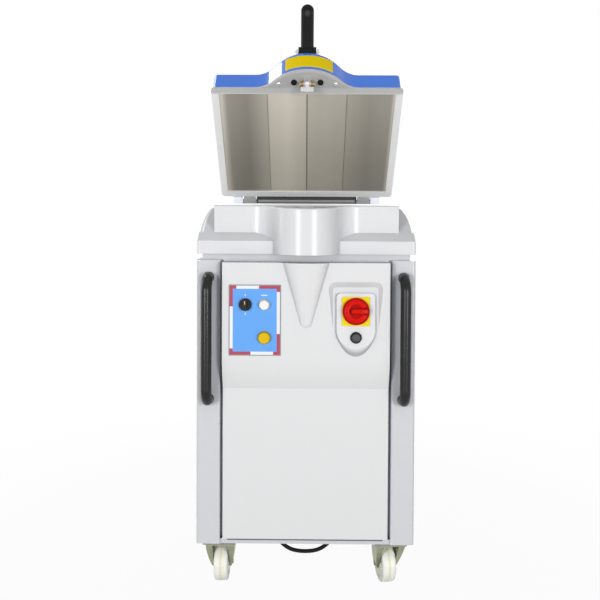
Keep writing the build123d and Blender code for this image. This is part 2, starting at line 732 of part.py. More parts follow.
def contact_blocks():
    """The switch bodies behind the panel, on the ends of the barrels."""
    body = RectangleRounded(CONTACT_BLOCK_SIZE, CONTACT_BLOCK_SIZE, CAP_ROUND)
    block = Pos(0, 0, -BARREL_LENGTH) * extrude(body, -CONTACT_BLOCK_LENGTH)
    places = (selector_place(), white_place(), yellow_place(), black_place())
    blocks = [place * block for place in places]
    size = RectangleRounded(SWITCH_BODY_SIZE, SWITCH_BODY_SIZE, CAP_ROUND)
    isolator = Pos(0, SWITCH_CENTRE, 0) * extrude(size, -SWITCH_BODY_LENGTH)
    isolator -= Pos(0, SWITCH_CENTRE, 0) * disc(SWITCH_SHAFT_RADIUS + RUN, -SWITCH_BODY_LENGTH / 2, 0)
    return [*blocks, switch_plane(-PANEL_WALL) * isolator]


def shield_outline(tip):
    """A shield with two round corners, whose lower edge is a half ellipse down to the tip."""
    half = PLINTH_HALF_WIDTH
    bowl = EllipticalCenterArc((0, 0), half, tip, 180, arc_size=180)
    rim = FilletPolyline((-half, 0), (-half, PLINTH_TOP), (half, PLINTH_TOP), (half, 0), radius=PLINTH_CORNER)
    return make_face([*bowl.edges(), *rim.edges()])


def switch_plinth():
    """The shield stands on the leaning floor and, below it, on the console's face, over a sloping chin."""
    root = Pos(0, 0, -PLINTH_ROOT) * shield_outline(PLINTH_ROOT_TIP)
    face = Pos(0, 0, PLINTH_HEIGHT) * shield_outline(PLINTH_TIP)
    shield = loft([root, face], ruled=True)
    plinth = switch_plane() * shield - panel_block()
    plinth = plinth.solids().sort_by(Axis.Y)[0]
    plinth = fillet(plinth.faces().sort_by(switch_axis())[-1].edges(), PLINTH_ROUND)
    plinth -= black_place() * disc(BARREL_RADIUS + FIT, -BARREL_LENGTH, BARREL_LENGTH)
    return plinth - switch_place() * disc(SWITCH_SHAFT_RADIUS + FIT, -BARREL_LENGTH, 0)


def switch_plate():
    outline = RectangleRounded(SWITCH_PLATE_WIDTH, SWITCH_PLATE_HEIGHT, SWITCH_PLATE_CORNER)
    plate = extrude(outline, -SWITCH_PLATE_THICK)
    plate -= disc(SWITCH_SHAFT_RADIUS + FIT, -SWITCH_PLATE_THICK, 0)
    return switch_place() * plate


def switch_knob():
    """A round turning disc with a groove and a pointer bar, on a shaft into the switch body."""
    knob = disc(SWITCH_KNOB_RADIUS, FIT, SWITCH_KNOB_DISC)
    knob = fillet(edges_at(knob, SWITCH_KNOB_DISC, SWITCH_KNOB_DISC), CAP_ROUND)
    half = SWITCH_GROOVE_WIDTH / 2
    groove = disc(SWITCH_GROOVE_RADIUS + half, SWITCH_KNOB_DISC - SWITCH_GROOVE_DEPTH, SWITCH_KNOB_DISC)
    knob -= groove - disc(SWITCH_GROOVE_RADIUS - half, FIT, SWITCH_KNOB_DISC)
    reach = SWITCH_KNOB_RADIUS - 2 * CAP_ROUND - SWITCH_GRIP_LENGTH / 2
    bar = Pos(reach, 0, FIT) * extrude(SlotOverall(SWITCH_GRIP_LENGTH, SWITCH_GRIP_WIDTH), SWITCH_GRIP_HEIGHT)
    top = FIT + SWITCH_GRIP_HEIGHT
    bar = fillet(edges_at(bar, top, top), CAP_ROUND)
    shaft_end = PLINTH_HEIGHT + SWITCH_PLATE_THICK + PANEL_WALL + SWITCH_BODY_LENGTH / 3
    return switch_place() * (knob + bar + disc(SWITCH_SHAFT_RADIUS, -shaft_end, FIT))


def side_handle():
    """The right-hand bow handle: a bent tube on two round feet."""
    x = HALF - POST_WIDTH / 2
    grip = FRONT - HANDLE_STANDOFF
    foot = FRONT - HANDLE_FOOT_HEIGHT
    corners = [(x, foot, HANDLE_LOW), (x, grip, HANDLE_LOW), (x, grip, HANDLE_HIGH), (x, foot, HANDLE_HIGH)]
    path = FilletPolyline(corners, radius=HANDLE_BEND)
    section = Plane(corners[0], z_dir=(0, -1, 0)) * Circle(HANDLE_RADIUS)
    handle = sweep(section, path)
    flange = Rot(90, 0, 0) * Cylinder(HANDLE_FOOT_RADIUS, HANDLE_FOOT_HEIGHT)
    for z in (HANDLE_LOW, HANDLE_HIGH):
        handle += Pos(x, FRONT - HANDLE_FOOT_HEIGHT / 2, z) * flange
    return handle


# Top cover and tank


def nose_slope(inset):
    """What is cut away above the nose, whose top falls towards its tip."""
    top = COVER_TOP - inset
    wedge = Polyline((WING_Y, top), (NOSE_Y, top - NOSE_DROP), (NOSE_Y, top), close=True)
    return across(make_face(wedge.edges()), NOSE_HALF_SPAN)


def is_block_brow(edge):
    """Whether an edge lies along the top of the block's front, on a wing or round the nose."""
    centre = edge.center()
    along_wing = abs(centre.X) > NOSE_HALF_SPAN and abs(centre.Y - WING_Y) < TOUCH
    return centre.Z > COVER_TOP - NOSE_DROP - TOUCH and (along_wing or centre.Y < WING_Y - TOUCH)


def nosed_block(inset):
    """The block between the cheeks, with its wings and its nose."""
    half = BLOCK_WIDTH / 2 - inset
    plan = nosed_plan(half, WING_Y + inset, BLOCK_REAR - inset, NOSE_Y + inset, NOSE_RADIUS - inset)
    block = standing(plan, COVER_BASE, COVER_TOP - inset) - nose_slope(inset)
    if inset:
        return block
    return fillet([edge for edge in block.edges() if is_block_brow(edge)], BLOCK_ROUND)


def ledge_form(inset):
    """The sloping ledge from the slab's front edge up to the wings and the cheeks."""
    slope = Polyline(
        (FRONT + inset, SLAB_TOP - inset),
        (WING_Y + inset, LEDGE_TOP - inset),
        (WING_Y + WING_SETBACK, LEDGE_TOP - inset),
        (WING_Y + WING_SETBACK, SLAB_TOP - inset),
        close=True,
    )
    return across(make_face(slope.edges()), HALF - HOOD_SIDE_INSET - inset)


def hood_side(inset):
    """Side view of the cheeks, which climb from the ledge's rear edge and lean back."""
    rise = HOOD_TOP - LEDGE_TOP
    foot = WING_Y + inset * math.hypot(rise, HOOD_LEAN) / rise
    rim = Polyline(
        (foot, COVER_BASE),
        (foot, LEDGE_TOP),
        (foot + HOOD_LEAN, HOOD_TOP),
        (BACK - inset, HOOD_TOP),
        (BACK - inset, COVER_BASE),
        close=True,
    )
    return make_face(rim.edges())


def is_leaning(face):
    """Whether a face looks forwards and up at once."""
    normal = face.normal_at()
    return normal.Y < -TOUCH and normal.Z > TOUCH


def hood_form(inset):
    """The cheeks and the rear of the cover: one form behind the ledge, its shoulders quarter ellipses."""
    half = HALF - HOOD_SIDE_INSET - inset
    top = HOOD_TOP - inset
    wide = HOOD_SHOULDER_WIDTH - inset
    high = HOOD_TOP - LEDGE_TOP
    shoulder = EllipticalCenterArc((half - wide, top - high), wide, high, arc_size=90)
    rim = Polyline((half - wide, top), (0, top), (0, COVER_BASE), (half, COVER_BASE), (half, top - high))
    view = make_face([shoulder, *rim.edges()])
    view += mirror(view, about=Plane.YZ)
    rear = Plane((0, BACK, 0), x_dir=(1, 0, 0), z_dir=(0, -1, 0)).location
    hood = rear * extrude(view, CABINET_DEPTH) & across(hood_side(inset), half)
    rear_rim = edges_at(hood, BACK - inset, BACK - inset, Axis.Y)
    hood = fillet([edge for edge in rear_rim if edge.center().Z > COVER_BASE + TOUCH], HOOD_CORNER - inset)
    if inset:
        return hood
    leaning = [face for face in hood.faces() if is_leaning(face)]
    brow = [edge for face in leaning for edge in face.edges() if edge.center().Z > LEDGE_TOP + TOUCH]
    return fillet(brow, HOOD_BROW)


def cover_form(inset):
    """The cover's outer form, drawn in by an inset: slab, sloping ledge, nosed block and cheeks."""
    half = HALF - inset
    slab = box_between((-half, FRONT + inset, COVER_BASE), (half, BACK - inset, SLAB_TOP - inset))
    slab = fillet(slab.edges().filter_by(Axis.Z), SLAB_CORNER - inset)
    return slab + ledge_form(inset) + nosed_block(inset) + hood_form(inset)


def latch_pocket(grow):
    half = POCKET_HALF_WIDTH + grow
    length = POCKET_LENGTH / 2 + grow
    low = COVER_TOP - POCKET_DEPTH - grow
    return box_between((-half, LATCH_Y - length, low), (half, LATCH_Y + length, COVER_TOP))


def top_cover():
    """The moulded cover: hollow, open below, with the tank's mouth and the latch pocket."""
    cover = cover_form(0) - (cover_form(COVER_WALL) - latch_pocket(POCKET_WALL))
    mouth_x = TANK_WIDTH / 2 + TANK_WALL + FIT
    mouth_y = TANK_DEPTH / 2 + TANK_WALL + FIT
    cover -= box_between((-mouth_x, TANK_Y - mouth_y, COVER_BASE), (mouth_x, TANK_Y + mouth_y, RIM_TOP))
    return cover - latch_pocket(0)


def latch_striker():
    """The notched plate in the pocket that the latch bar goes under."""
    bar_front = LATCH_Y - LATCH_BAR / 2
    rear = bar_front - STRIKER_LIP
    low = LATCH_Z - LATCH_LENGTH + LATCH_BAR + STRIKER_CLEARANCE
    front = LATCH_Y - POCKET_LENGTH / 2
    plate = box_between((-POCKET_HALF_WIDTH, front, low), (POCKET_HALF_WIDTH, rear, low + STRIKER_THICK))
    half = STRIKER_NOTCH / 2
    notch_front = front + STRIKER_THICK
    return plate - box_between((-half, notch_front, low), (half, rear, low + STRIKER_THICK))


def tank_ring(grow, low, high):
    """A solid block of the tank's inner plan, grown all round."""
    half_x = TANK_WIDTH / 2 + grow
    half_y = TANK_DEPTH / 2 + grow
    return box_between((-half_x, TANK_Y - half_y, low), (half_x, TANK_Y + half_y, high))


def dough_tank():
    """Four welded walls with a rim on the cover and a flange on the chassis."""
    tank = tank_ring(TANK_WALL, CHASSIS_TOP, RIM_TOP)
    tank += tank_ring(TANK_WALL + TANK_RIM_WIDTH, COVER_TOP, RIM_TOP)
    tank += tank_ring(TANK_WALL + TANK_FLANGE, CHASSIS_TOP, CHASSIS_TOP + TANK_WALL)
    return tank - tank_ring(0, CHASSIS_TOP, RIM_TOP)


def cell_centres():
    return [
        (CELL_WIDTH * (column + 0.5) - TANK_WIDTH / 2, TANK_Y + CELL_DEPTH * (row + 0.5) - TANK_DEPTH / 2)
        for row in range(CELLS_DEEP)
        for column in range(CELLS_ACROSS)
    ]


def cell_limits(index, count, pitch, centre):
    """Where a pusher block starts and ends along one axis: a slot to its neighbour, a gap to the wall."""
    low = centre + pitch * index - pitch * count / 2
    start = low + (WALL_GAP if index == 0 else BLOCK_GAP / 2)
    end = low + pitch - (WALL_GAP if index == count - 1 else BLOCK_GAP / 2)
    return start, end


def pusher_blocks():
    blocks = []
    for row in range(CELLS_DEEP):
        y_low, y_high = cell_limits(row, CELLS_DEEP, CELL_DEPTH, TANK_Y)
        for column in range(CELLS_ACROSS):
            x_low, x_high = cell_limits(column, CELLS_ACROSS, CELL_WIDTH, 0)
            blocks.append(box_between((x_low, y_low, PLATEN_LOW), (x_high, y_high, PLATEN_TOP)))
    return blocks


def platen_carrier():
    """A plate on the piston with one post up to each pusher block and two guide bosses."""
    half_x = TANK_WIDTH / 2 - CELL_WIDTH / 2 + CARRIER_MARGIN
    half_y = TANK_DEPTH / 2 - CELL_DEPTH / 2 + CARRIER_MARGIN
    carrier = box_between((-half_x, TANK_Y - half_y, CARRIER_LOW), (half_x, TANK_Y + half_y, CARRIER_TOP))
    for x, y in cell_centres():
        carrier += Pos(x, y, 0) * disc(STEM_POST_RADIUS, CARRIER_TOP, PLATEN_LOW)
    for x in (-CELL_WIDTH, CELL_WIDTH):
        carrier += Pos(x, TANK_Y, 0) * disc(GUIDE_BOSS_RADIUS, CARRIER_LOW - GUIDE_BOSS_HEIGHT, CARRIER_LOW)
        guide_bore = disc(GUIDE_RADIUS + RUN, CARRIER_LOW - GUIDE_BOSS_HEIGHT, CARRIER_TOP)
        carrier -= Pos(x, TANK_Y, 0) * guide_bore
    return carrier


def piston_rod():
    piston_low = BRIDGE_TOP + BARREL_FLOOR + FIT
    rod = disc(PISTON_ROD_RADIUS, piston_low, CARRIER_LOW)
    return Pos(0, TANK_Y, 0) * (rod + disc(PISTON_RADIUS, piston_low, piston_low + PISTON_HEIGHT))


def lift_cylinder():
    barrel = disc(PISTON_RADIUS + BARREL_WALL, BRIDGE_TOP, LIFT_TOP)
    barrel += Pos(0, 0, BRIDGE_TOP + PIPE_PORT_Z) * Rot(-90, 0, 0) * disc(PORT_RADIUS, 0, port_reach())
    barrel -= disc(PISTON_RADIUS + RUN, BRIDGE_TOP + BARREL_FLOOR, LIFT_TOP - GLAND_HEIGHT)
    barrel -= disc(PISTON_ROD_RADIUS + RUN, BRIDGE_TOP + BARREL_FLOOR, LIFT_TOP)
    return Pos(0, TANK_Y, 0) * barrel


def port_reach():
    """From the lift cylinder's middle to the flat face of its oil port."""
    return PISTON_RADIUS + BARREL_WALL + PORT_REACH


def guide_columns():
    column = disc(GUIDE_RADIUS, BRIDGE_TOP, RING_LOW - TRAVEL_MARGIN)
    return [Pos(x, TANK_Y, 0) * column for x in (-CELL_WIDTH, CELL_WIDTH)]


def knife_grid():
    """Crossed blades with half-lap slots, one blade per solid."""
    top = PLATEN_TOP - KNIFE_SINK
    middle = (top + RING_TOP) / 2
    half_x = TANK_WIDTH / 2 - KNIFE_RING_MARGIN
    half_y = TANK_DEPTH / 2 - KNIFE_RING_MARGIN
    half = KNIFE_THICK / 2
    slot = half + LAP_GAP
    lines_x = [CELL_WIDTH * index - TANK_WIDTH / 2 for index in range(1, CELLS_ACROSS)]
    lines_y = [TANK_Y + CELL_DEPTH * index - TANK_DEPTH / 2 for index in range(1, CELLS_DEEP)]
    blades = []
    for x in lines_x:
        blade = box_between((x - half, TANK_Y - half_y, RING_TOP), (x + half, TANK_Y + half_y, top))
        for y in lines_y:
            blade -= box_between((x - half, y - slot, middle), (x + half, y + slot, top))
        blades.append(blade)
    for y in lines_y:
        blade = box_between((-half_x, y - half, RING_TOP), (half_x, y + half, top))
        for x in lines_x:
            blade -= box_between((x - slot, y - half, RING_TOP), (x + slot, y + half, middle))
        blades.append(blade)
    return blades


def knife_ring():
    """The frame that carries the blades, on two lifting rods."""
    ring = tank_ring(-KNIFE_RING_MARGIN, RING_LOW, RING_TOP)
    ring -= tank_ring(-KNIFE_RING_MARGIN - KNIFE_RING_WIDTH, RING_LOW, RING_TOP)
    rod_low = knife_barrel_top() - KNIFE_ROD_DEPTH
    for x in (-KNIFE_ROD_X, KNIFE_ROD_X):
        ring += Pos(x, TANK_Y, 0) * disc(KNIFE_ROD_RADIUS, rod_low, RING_LOW)
    return ring


def knife_barrel_top():
    return BRIDGE_TOP + KNIFE_BARREL_HEIGHT


def knife_cylinders():
    barrel = disc(KNIFE_BARREL_RADIUS, BRIDGE_TOP, knife_barrel_top())
    barrel -= disc(KNIFE_ROD_RADIUS + RUN, BRIDGE_TOP + BARREL_FLOOR, knife_barrel_top())
    return [Pos(x, TANK_Y, 0) * barrel for x in (-KNIFE_ROD_X, KNIFE_ROD_X)]


# Chassis and power pack


def chassis_frame():
    """Square tube: a ring under the tank, four uprights, side rails and the cylinder bridge."""
    inner_x = TANK_WIDTH / 2 + TANK_WALL + FIT
    inner_y = TANK_DEPTH / 2 + TANK_WALL + FIT
    outer_x = inner_x + TUBE
    outer_y = inner_y + TUBE
    low = CHASSIS_TOP - TUBE
    frame = box_between((-outer_x, TANK_Y - outer_y, low), (outer_x, TANK_Y + outer_y, CHASSIS_TOP))
    frame -= box_between((-inner_x, TANK_Y - inner_y, low), (inner_x, TANK_Y + inner_y, CHASSIS_TOP))
    for x in (-outer_x, inner_x):
        for y in (TANK_Y - outer_y, TANK_Y + inner_y):
            frame += box_between((x, y, PAN_FLOOR), (x + TUBE, y + TUBE, low))
        rail_high = (x + TUBE, TANK_Y + inner_y, BRIDGE_Z)
        frame += box_between((x, TANK_Y - inner_y, BRIDGE_Z - TUBE), rail_high)
    half = BRIDGE_DEPTH / 2
    frame += box_between((-outer_x, TANK_Y - half, BRIDGE_Z), (outer_x, TANK_Y + half, BRIDGE_TOP))
    return frame


def oil_tank():
    width, depth, height = OIL_TANK_SIZE
    outline = RectangleRounded(width, depth, OIL_TANK_CORNER)
    return Pos(OIL_TANK_X, OIL_TANK_Y, PAN_FLOOR) * extrude(outline, height)


def motor_height():
    return PAN_FLOOR + MOTOR_FOOT_HEIGHT + MOTOR_RADIUS


def pump_unit():
    """A finned motor on a foot, lying along y, with the gear pump on its front end."""
    place = Pos(MOTOR_X, MOTOR_Y, motor_height()) * Rot(90, 0, 0)
    half = MOTOR_LENGTH / 2
    motor = disc(MOTOR_RADIUS, -half, half)
    fin_gap = Pos(MOTOR_RADIUS, 0, MOTOR_COWL_LENGTH / 2)
    fin_gap *= Box(2 * MOTOR_FIN_DEPTH, MOTOR_FIN_WIDTH, MOTOR_LENGTH - MOTOR_COWL_LENGTH)
    motor -= [Rot(0, 0, 360 * index / MOTOR_FIN_COUNT) * fin_gap for index in range(MOTOR_FIN_COUNT)]
    foot = box_between(
        (MOTOR_X - MOTOR_FOOT_WIDTH / 2, MOTOR_Y - half / 2, PAN_FLOOR),
        (MOTOR_X + MOTOR_FOOT_WIDTH / 2, MOTOR_Y + half / 2, motor_height() - MOTOR_RADIUS / 2),
    )
    return [place * motor + foot, place * disc(PUMP_RADIUS, half, half + PUMP_LENGTH)]


def valve_place():
    """The middle of the valve block's underside, on the oil tank."""
    return Vector(OIL_TANK_X, OIL_TANK_Y, PAN_FLOOR + OIL_TANK_SIZE[2])


def valve_block():
    """The manifold on the oil tank with a solenoid coil on each side."""
    width, depth, height = VALVE_BLOCK_SIZE
    place = valve_place()
    block = Pos(place.X, place.Y, place.Z + height / 2) * Box(width, depth, height)
    coil = Rot(0, 90, 0) * Cylinder(COIL_RADIUS, COIL_LENGTH)
    reach = (width + COIL_LENGTH) / 2
    return [block, *(Pos(place.X + x, place.Y, place.Z + height / 2) * coil for x in (-reach, reach))]


def pressure_pipe():
    """Bent tube from the valve block to the port low on the lift cylinder."""
    start = valve_place() + Vector(0, 0, VALVE_BLOCK_SIZE[2])
    port_z = BRIDGE_TOP + PIPE_PORT_Z
    port_y = TANK_Y + port_reach()
    corners = [start, (start.X, start.Y, port_z), (0, start.Y, port_z), (0, port_y, port_z)]
    path = FilletPolyline(corners, radius=PIPE_BEND)
    return sweep(Plane(start, z_dir=(0, 0, 1)) * Circle(PIPE_RADIUS), path)


def control_box():
    width, depth, height = CONTROL_BOX_SIZE
    outline = RectangleRounded(width, depth, CONTROL_BOX_CORNER)
    return Pos(0, BACK - depth / 2, CONTROL_BOX_Z - height / 2) * extrude(outline, height)


# Lid, drawn shut


def lid_plan(inset):
    return nosed_plan(
        LID_WIDTH / 2 - inset,
        LID_FRONT + inset,
        LID_REAR - inset,
        LID_NOSE_Y + inset,
        LID_NOSE_RADIUS - inset,
    )


def lid_corners(solid):
    """The upright edges at the lid's four outer corners."""
    upright = solid.edges().filter_by(Axis.Z)
    reach = LID_WIDTH / 2 - FRAME_BORDER
    return [edge for edge in upright if abs(edge.center().X) > reach]


def plate_opening(inset, low, high):
    half = LID_WIDTH / 2 - FRAME_BORDER - inset
    front = LID_FRONT + FRAME_BORDER + inset
    return box_between((-half, front, low), (half, LID_REAR - FRAME_BORDER - inset, high))


def lid_frame():
    """The cast frame: a thin rim, a border round the press plate, a ledge over it and the nose."""
    frame = standing(lid_plan(0), LID_LOW, LIP_TOP)
    frame = fillet(lid_corners(frame), FRAME_CORNER)
    frame += standing(lid_plan(COVER_LIP + LID_WALL + FIT), LIP_TOP, FRAME_TOP)
    frame -= plate_opening(0, LID_LOW, PLATE_LOW + PLATE_THICK)
    frame -= plate_opening(FRAME_LEDGE, LID_LOW, FRAME_TOP)
    return frame - nose_plate_form(0)


def nose_plate_form(inset):
    """The plate let into the nose's underside."""
    margin = NOSE_PLATE_MARGIN + inset
    plan = make_face(
        [
            Line((-NOSE_HALF_SPAN + margin, LID_FRONT), (NOSE_HALF_SPAN - margin, LID_FRONT)),
            *ogee_edges(NOSE_HALF_SPAN - margin, LID_FRONT, LID_NOSE_Y + margin, LID_NOSE_RADIUS - margin),
        ]
    )
    return standing(plan, LID_LOW, LID_LOW + NOSE_PLATE_THICK)


def latch_lugs():
    """The two lugs under the nose that carry the latch pin."""
    inner = LATCH_COLUMN / 2 + LUG_GAP
    lug = Pos(0, LATCH_Y, LATCH_Z) * Rot(0, 90, 0) * Cylinder(LUG_RADIUS, LUG_THICK)
    lug += box_between(
        (-LUG_THICK / 2, LATCH_Y - LUG_RADIUS, LATCH_Z), (LUG_THICK / 2, LATCH_Y + LUG_RADIUS, LID_LOW)
    )
    lug -= bar_along_x(LATCH_PIN_RADIUS + RUN, LUG_THICK, LATCH_Y, LATCH_Z)
    return [Pos(side * (inner + LUG_THICK / 2), 0, 0) * lug for side in (-1, 1)]


def nose_plate():
    plate = nose_plate_form(FIT)
    for lug in latch_lugs():
        plate += lug
    return plate


def latch_pin():
    """The brass pin through the lugs and the latch, headed at both ends."""
    half = LATCH_COLUMN / 2 + LUG_GAP + LUG_THICK
    pin = bar_along_x(LATCH_PIN_RADIUS, half + LATCH_PIN_HEAD, LATCH_Y, LATCH_Z)
    return pin


def latch_hook():
    """The latch: an eye on the pin, a column and a cross bar at its foot."""
    eye = bar_along_x(LATCH_EYE_RADIUS, LATCH_COLUMN / 2, LATCH_Y, LATCH_Z)
    half = LATCH_COLUMN / 2
    foot = LATCH_Z - LATCH_LENGTH
    column = box_between((-half, LATCH_Y - half, foot), (half, LATCH_Y + half, LATCH_Z))
    wide = LATCH_BAR_WIDTH / 2
    deep = LATCH_BAR / 2
    bar = box_between((-wide, LATCH_Y - deep, foot), (wide, LATCH_Y + deep, foot + LATCH_BAR))
    return eye + column + bar - bar_along_x(LATCH_PIN_RADIUS + RUN, half, LATCH_Y, LATCH_Z)


def lid_buffers():
    buffer = disc(BUFFER_RADIUS, LID_LOW - BUFFER_HEIGHT, LID_LOW)
    buffer = fillet(edges_at(buffer, LID_LOW - BUFFER_HEIGHT, LID_LOW - BUFFER_HEIGHT), CAP_ROUND)
    return [Pos(x, LATCH_Y, 0) * buffer for x in (-BUFFER_X, BUFFER_X)]


def press_plate():
    """The steel plate the dough is pressed against, grooved under each knife line."""
    plate = plate_opening(FIT, PLATE_LOW, PLATE_LOW + PLATE_THICK)
    half = GROOVE_WIDTH / 2
    for index in range(1, CELLS_ACROSS):
        x = CELL_WIDTH * index - TANK_WIDTH / 2
        low = (x - half, LID_FRONT, PLATE_LOW)
        plate -= box_between(low, (x + half, LID_REAR, PLATE_LOW + GROOVE_DEPTH))
    return plate


def crowned_section(crown):
    """Front view of the lid's top as (x, z), flat at the wings and crowned in the middle."""
    half = LID_WIDTH / 2
    rim = Polyline(
        (NOSE_HALF_SPAN, LID_TOP),
        (half, LID_TOP),
        (half, LIP_TOP),
        (-half, LIP_TOP),
        (-half, LID_TOP),
        (-NOSE_HALF_SPAN, LID_TOP),
    )
    radius = LID_CROWN_RADIUS * LID_CROWN / crown
    return make_face([rim.edges(), *ogee_edges(NOSE_HALF_SPAN, LID_TOP, LID_TOP + crown, radius)])


def lid_cover():
    """The painted lid shell: nosed plan, and a crown that falls from the nose to the hinge."""
    front = Plane((0, LID_NOSE_Y, 0), x_dir=(1, 0, 0), z_dir=(0, -1, 0)).location
    rear = Plane((0, LID_REAR, 0), x_dir=(1, 0, 0), z_dir=(0, -1, 0)).location
    crowned = loft([rear * crowned_section(LID_CROWN_REAR), front * crowned_section(LID_CROWN)], ruled=True)
    cover = standing(lid_plan(COVER_LIP), LIP_TOP, LID_TOP + LID_CROWN)
    cover = fillet(lid_corners(cover), FRAME_CORNER) & crowned
    top = [edge for edge in cover.edges() if edge.bounding_box().min.Z > LID_TOP - FIT]
    outer = [edge for edge in top if not inside_lid(edge.center())]
    cover = fillet(outer, LID_ROUND)
    hollow = standing(lid_plan(COVER_LIP + LID_WALL), LIP_TOP, LID_TOP - LID_WALL - LID_ROUND / 2)
    return cover - hollow


def inside_lid(point):
    """Whether a point lies well inside the lid's plan."""
    plan = lid_plan(COVER_LIP + LID_WALL)
    return plan.is_inside(Vector(point.X, point.Y, 0))


def hinge_arms():
    """Two bars from the frame's rear edge to eyes on the hinge bar."""
    low = LID_LOW
    arm = box_between((0, LID_REAR, low), (ARM_WIDTH, HINGE_Y, low + ARM_THICK))
    eye = Pos(ARM_WIDTH / 2, HINGE_Y, HINGE_Z) * Rot(0, 90, 0) * Cylinder(HINGE_EYE_RADIUS, ARM_WIDTH)
    bore = Pos(ARM_WIDTH / 2, HINGE_Y, HINGE_Z) * Rot(0, 90, 0) * Cylinder(HINGE_RADIUS + RUN, ARM_WIDTH)
    return both_sides(Pos(ARM_INNER_X, 0, 0) * (arm + eye - bore))


def hinge_blocks():
    """White bearing blocks on the cover, outside the arms."""
    inner = ARM_INNER_X + ARM_WIDTH + HINGE_GAP
    half = HINGE_BLOCK_DEPTH / 2
    block = box_between(
        (inner, HINGE_Y - half, HOOD_TOP),
        (inner + HINGE_BLOCK_WIDTH, HINGE_Y + half, HINGE_Z + HINGE_BLOCK_RISE),
    )
    block = fillet(edges_at(block, HINGE_Z + HINGE_BLOCK_RISE, HINGE_Z + HINGE_BLOCK_RISE), CAP_ROUND)
    return both_sides(block - bar_along_x(HINGE_RADIUS, HALF, HINGE_Y, HINGE_Z))


def hinge_bar():
    half = ARM_INNER_X + ARM_WIDTH + HINGE_GAP + HINGE_BLOCK_WIDTH
    return bar_along_x(HINGE_RADIUS, half, HINGE_Y, HINGE_Z)


def spring_box():
    """The housing of the counterbalance spring, on the cover between the arms."""
    half = ARM_INNER_X - HINGE_GAP
    deep = SPRING_BOX_DEPTH / 2
    high = HINGE_Z + HINGE_BLOCK_RISE
    housing = box_between((-half, HINGE_Y - deep, HOOD_TOP), (half, HINGE_Y + deep, high))
    lip = SPRING_BOX_LIP
    window = (half - lip, HINGE_Y - deep + lip / 2, high - lip)
    housing -= box_between((lip - half, HINGE_Y - deep, HOOD_TOP + lip), window)
    return housing - bar_along_x(HINGE_RADIUS + FIT, half, HINGE_Y, HINGE_Z)


def handle_ears():
    """Two ears on the crown, with the pin that the handle turns on."""
    inner = HUB_WIDTH / 2 + HUB_CLEARANCE
    root = box_between(
        (inner, HUB_Y - EAR_RADIUS, HUB_Z - HUB_RISE - LID_CROWN),
        (inner + EAR_THICK, HUB_Y + EAR_RADIUS, HUB_Z),
    )
    ear = root + Pos(inner + EAR_THICK / 2, HUB_Y, HUB_Z) * Rot(0, 90, 0) * Cylinder(EAR_RADIUS, EAR_THICK)
    ear -= lid_cover()
    ear = ear.solids().sort_by(Axis.Z)[-1]
    ear -= bar_along_x(LEVER_PIN_RADIUS, HALF, HUB_Y, HUB_Z)
    pin = bar_along_x(LEVER_PIN_RADIUS, inner + EAR_THICK, HUB_Y, HUB_Z)
    return [*both_sides(ear), pin]


def lid_handle():
    """The lever: a round hub and a flat grip with a rounded end and an oval dimple."""
    rise = math.radians(LEVER_RISE)
    along = Vector(0, -math.cos(rise), math.sin(rise))
    plane = Plane((0, HUB_Y, HUB_Z), x_dir=(1, 0, 0), z_dir=Vector(1, 0, 0).cross(along))
    grip_plan = Rot(0, 0, 90) * SlotOverall(LEVER_LENGTH + LEVER_WIDTH, LEVER_WIDTH)
    grip = Pos(0, LEVER_LENGTH / 2, 0) * extrude(grip_plan, LEVER_THICK / 2, both=True)
    grip = fillet(grip.edges().filter_by(Axis.Z, reverse=True), LEVER_ROUND)
    dimple_plan = SlotOverall(LEVER_DIMPLE_LENGTH, LEVER_DIMPLE_WIDTH)
    dimple = Rot(0, 0, 90) * extrude(dimple_plan, -LEVER_DIMPLE_DEPTH)
    grip -= Pos(0, LEVER_LENGTH - LEVER_DIMPLE_LENGTH / 4, LEVER_THICK / 2) * dimple
    grip = plane.location * grip
    grip -= bar_along_x(HUB_RADIUS, LEVER_WIDTH, HUB_Y, HUB_Z)
    hub = bar_along_x(HUB_RADIUS, HUB_WIDTH / 2, HUB_Y, HUB_Z)
    lever = grip.solids().sort_by(Axis.Y)[0] + hub
    return lever - bar_along_x(LEVER_PIN_RADIUS + RUN, HUB_WIDTH, HUB_Y, HUB_Z)


# Castors


def castor_places():
    """Name, x, y and turn of each castor."""
    return [
        ("front_left", -CASTOR_X, -CASTOR_Y, 0),
        ("front_right", CASTOR_X, -CASTOR_Y, FRONT_RIGHT_TURN),
        ("rear_left", -CASTOR_X, CASTOR_Y - CASTOR_TRAIL, 0),
        ("rear_right", CASTOR_X, CASTOR_Y - CASTOR_TRAIL, 0),
    ]


def castor_plates():
    plate = Pos(0, 0, BASE_HEIGHT - CASTOR_PLATE_THICK / 2)
    plate *= Box(CASTOR_PLATE_WIDTH, CASTOR_PLATE_LENGTH, CASTOR_PLATE_THICK)
    plate -= disc(KINGPIN_RADIUS + AXLE_CLEARANCE, BASE_HEIGHT - CASTOR_PLATE_THICK, BASE_HEIGHT)
    return [Pos(x, y, 0) * plate for _, x, y, _ in castor_places()]


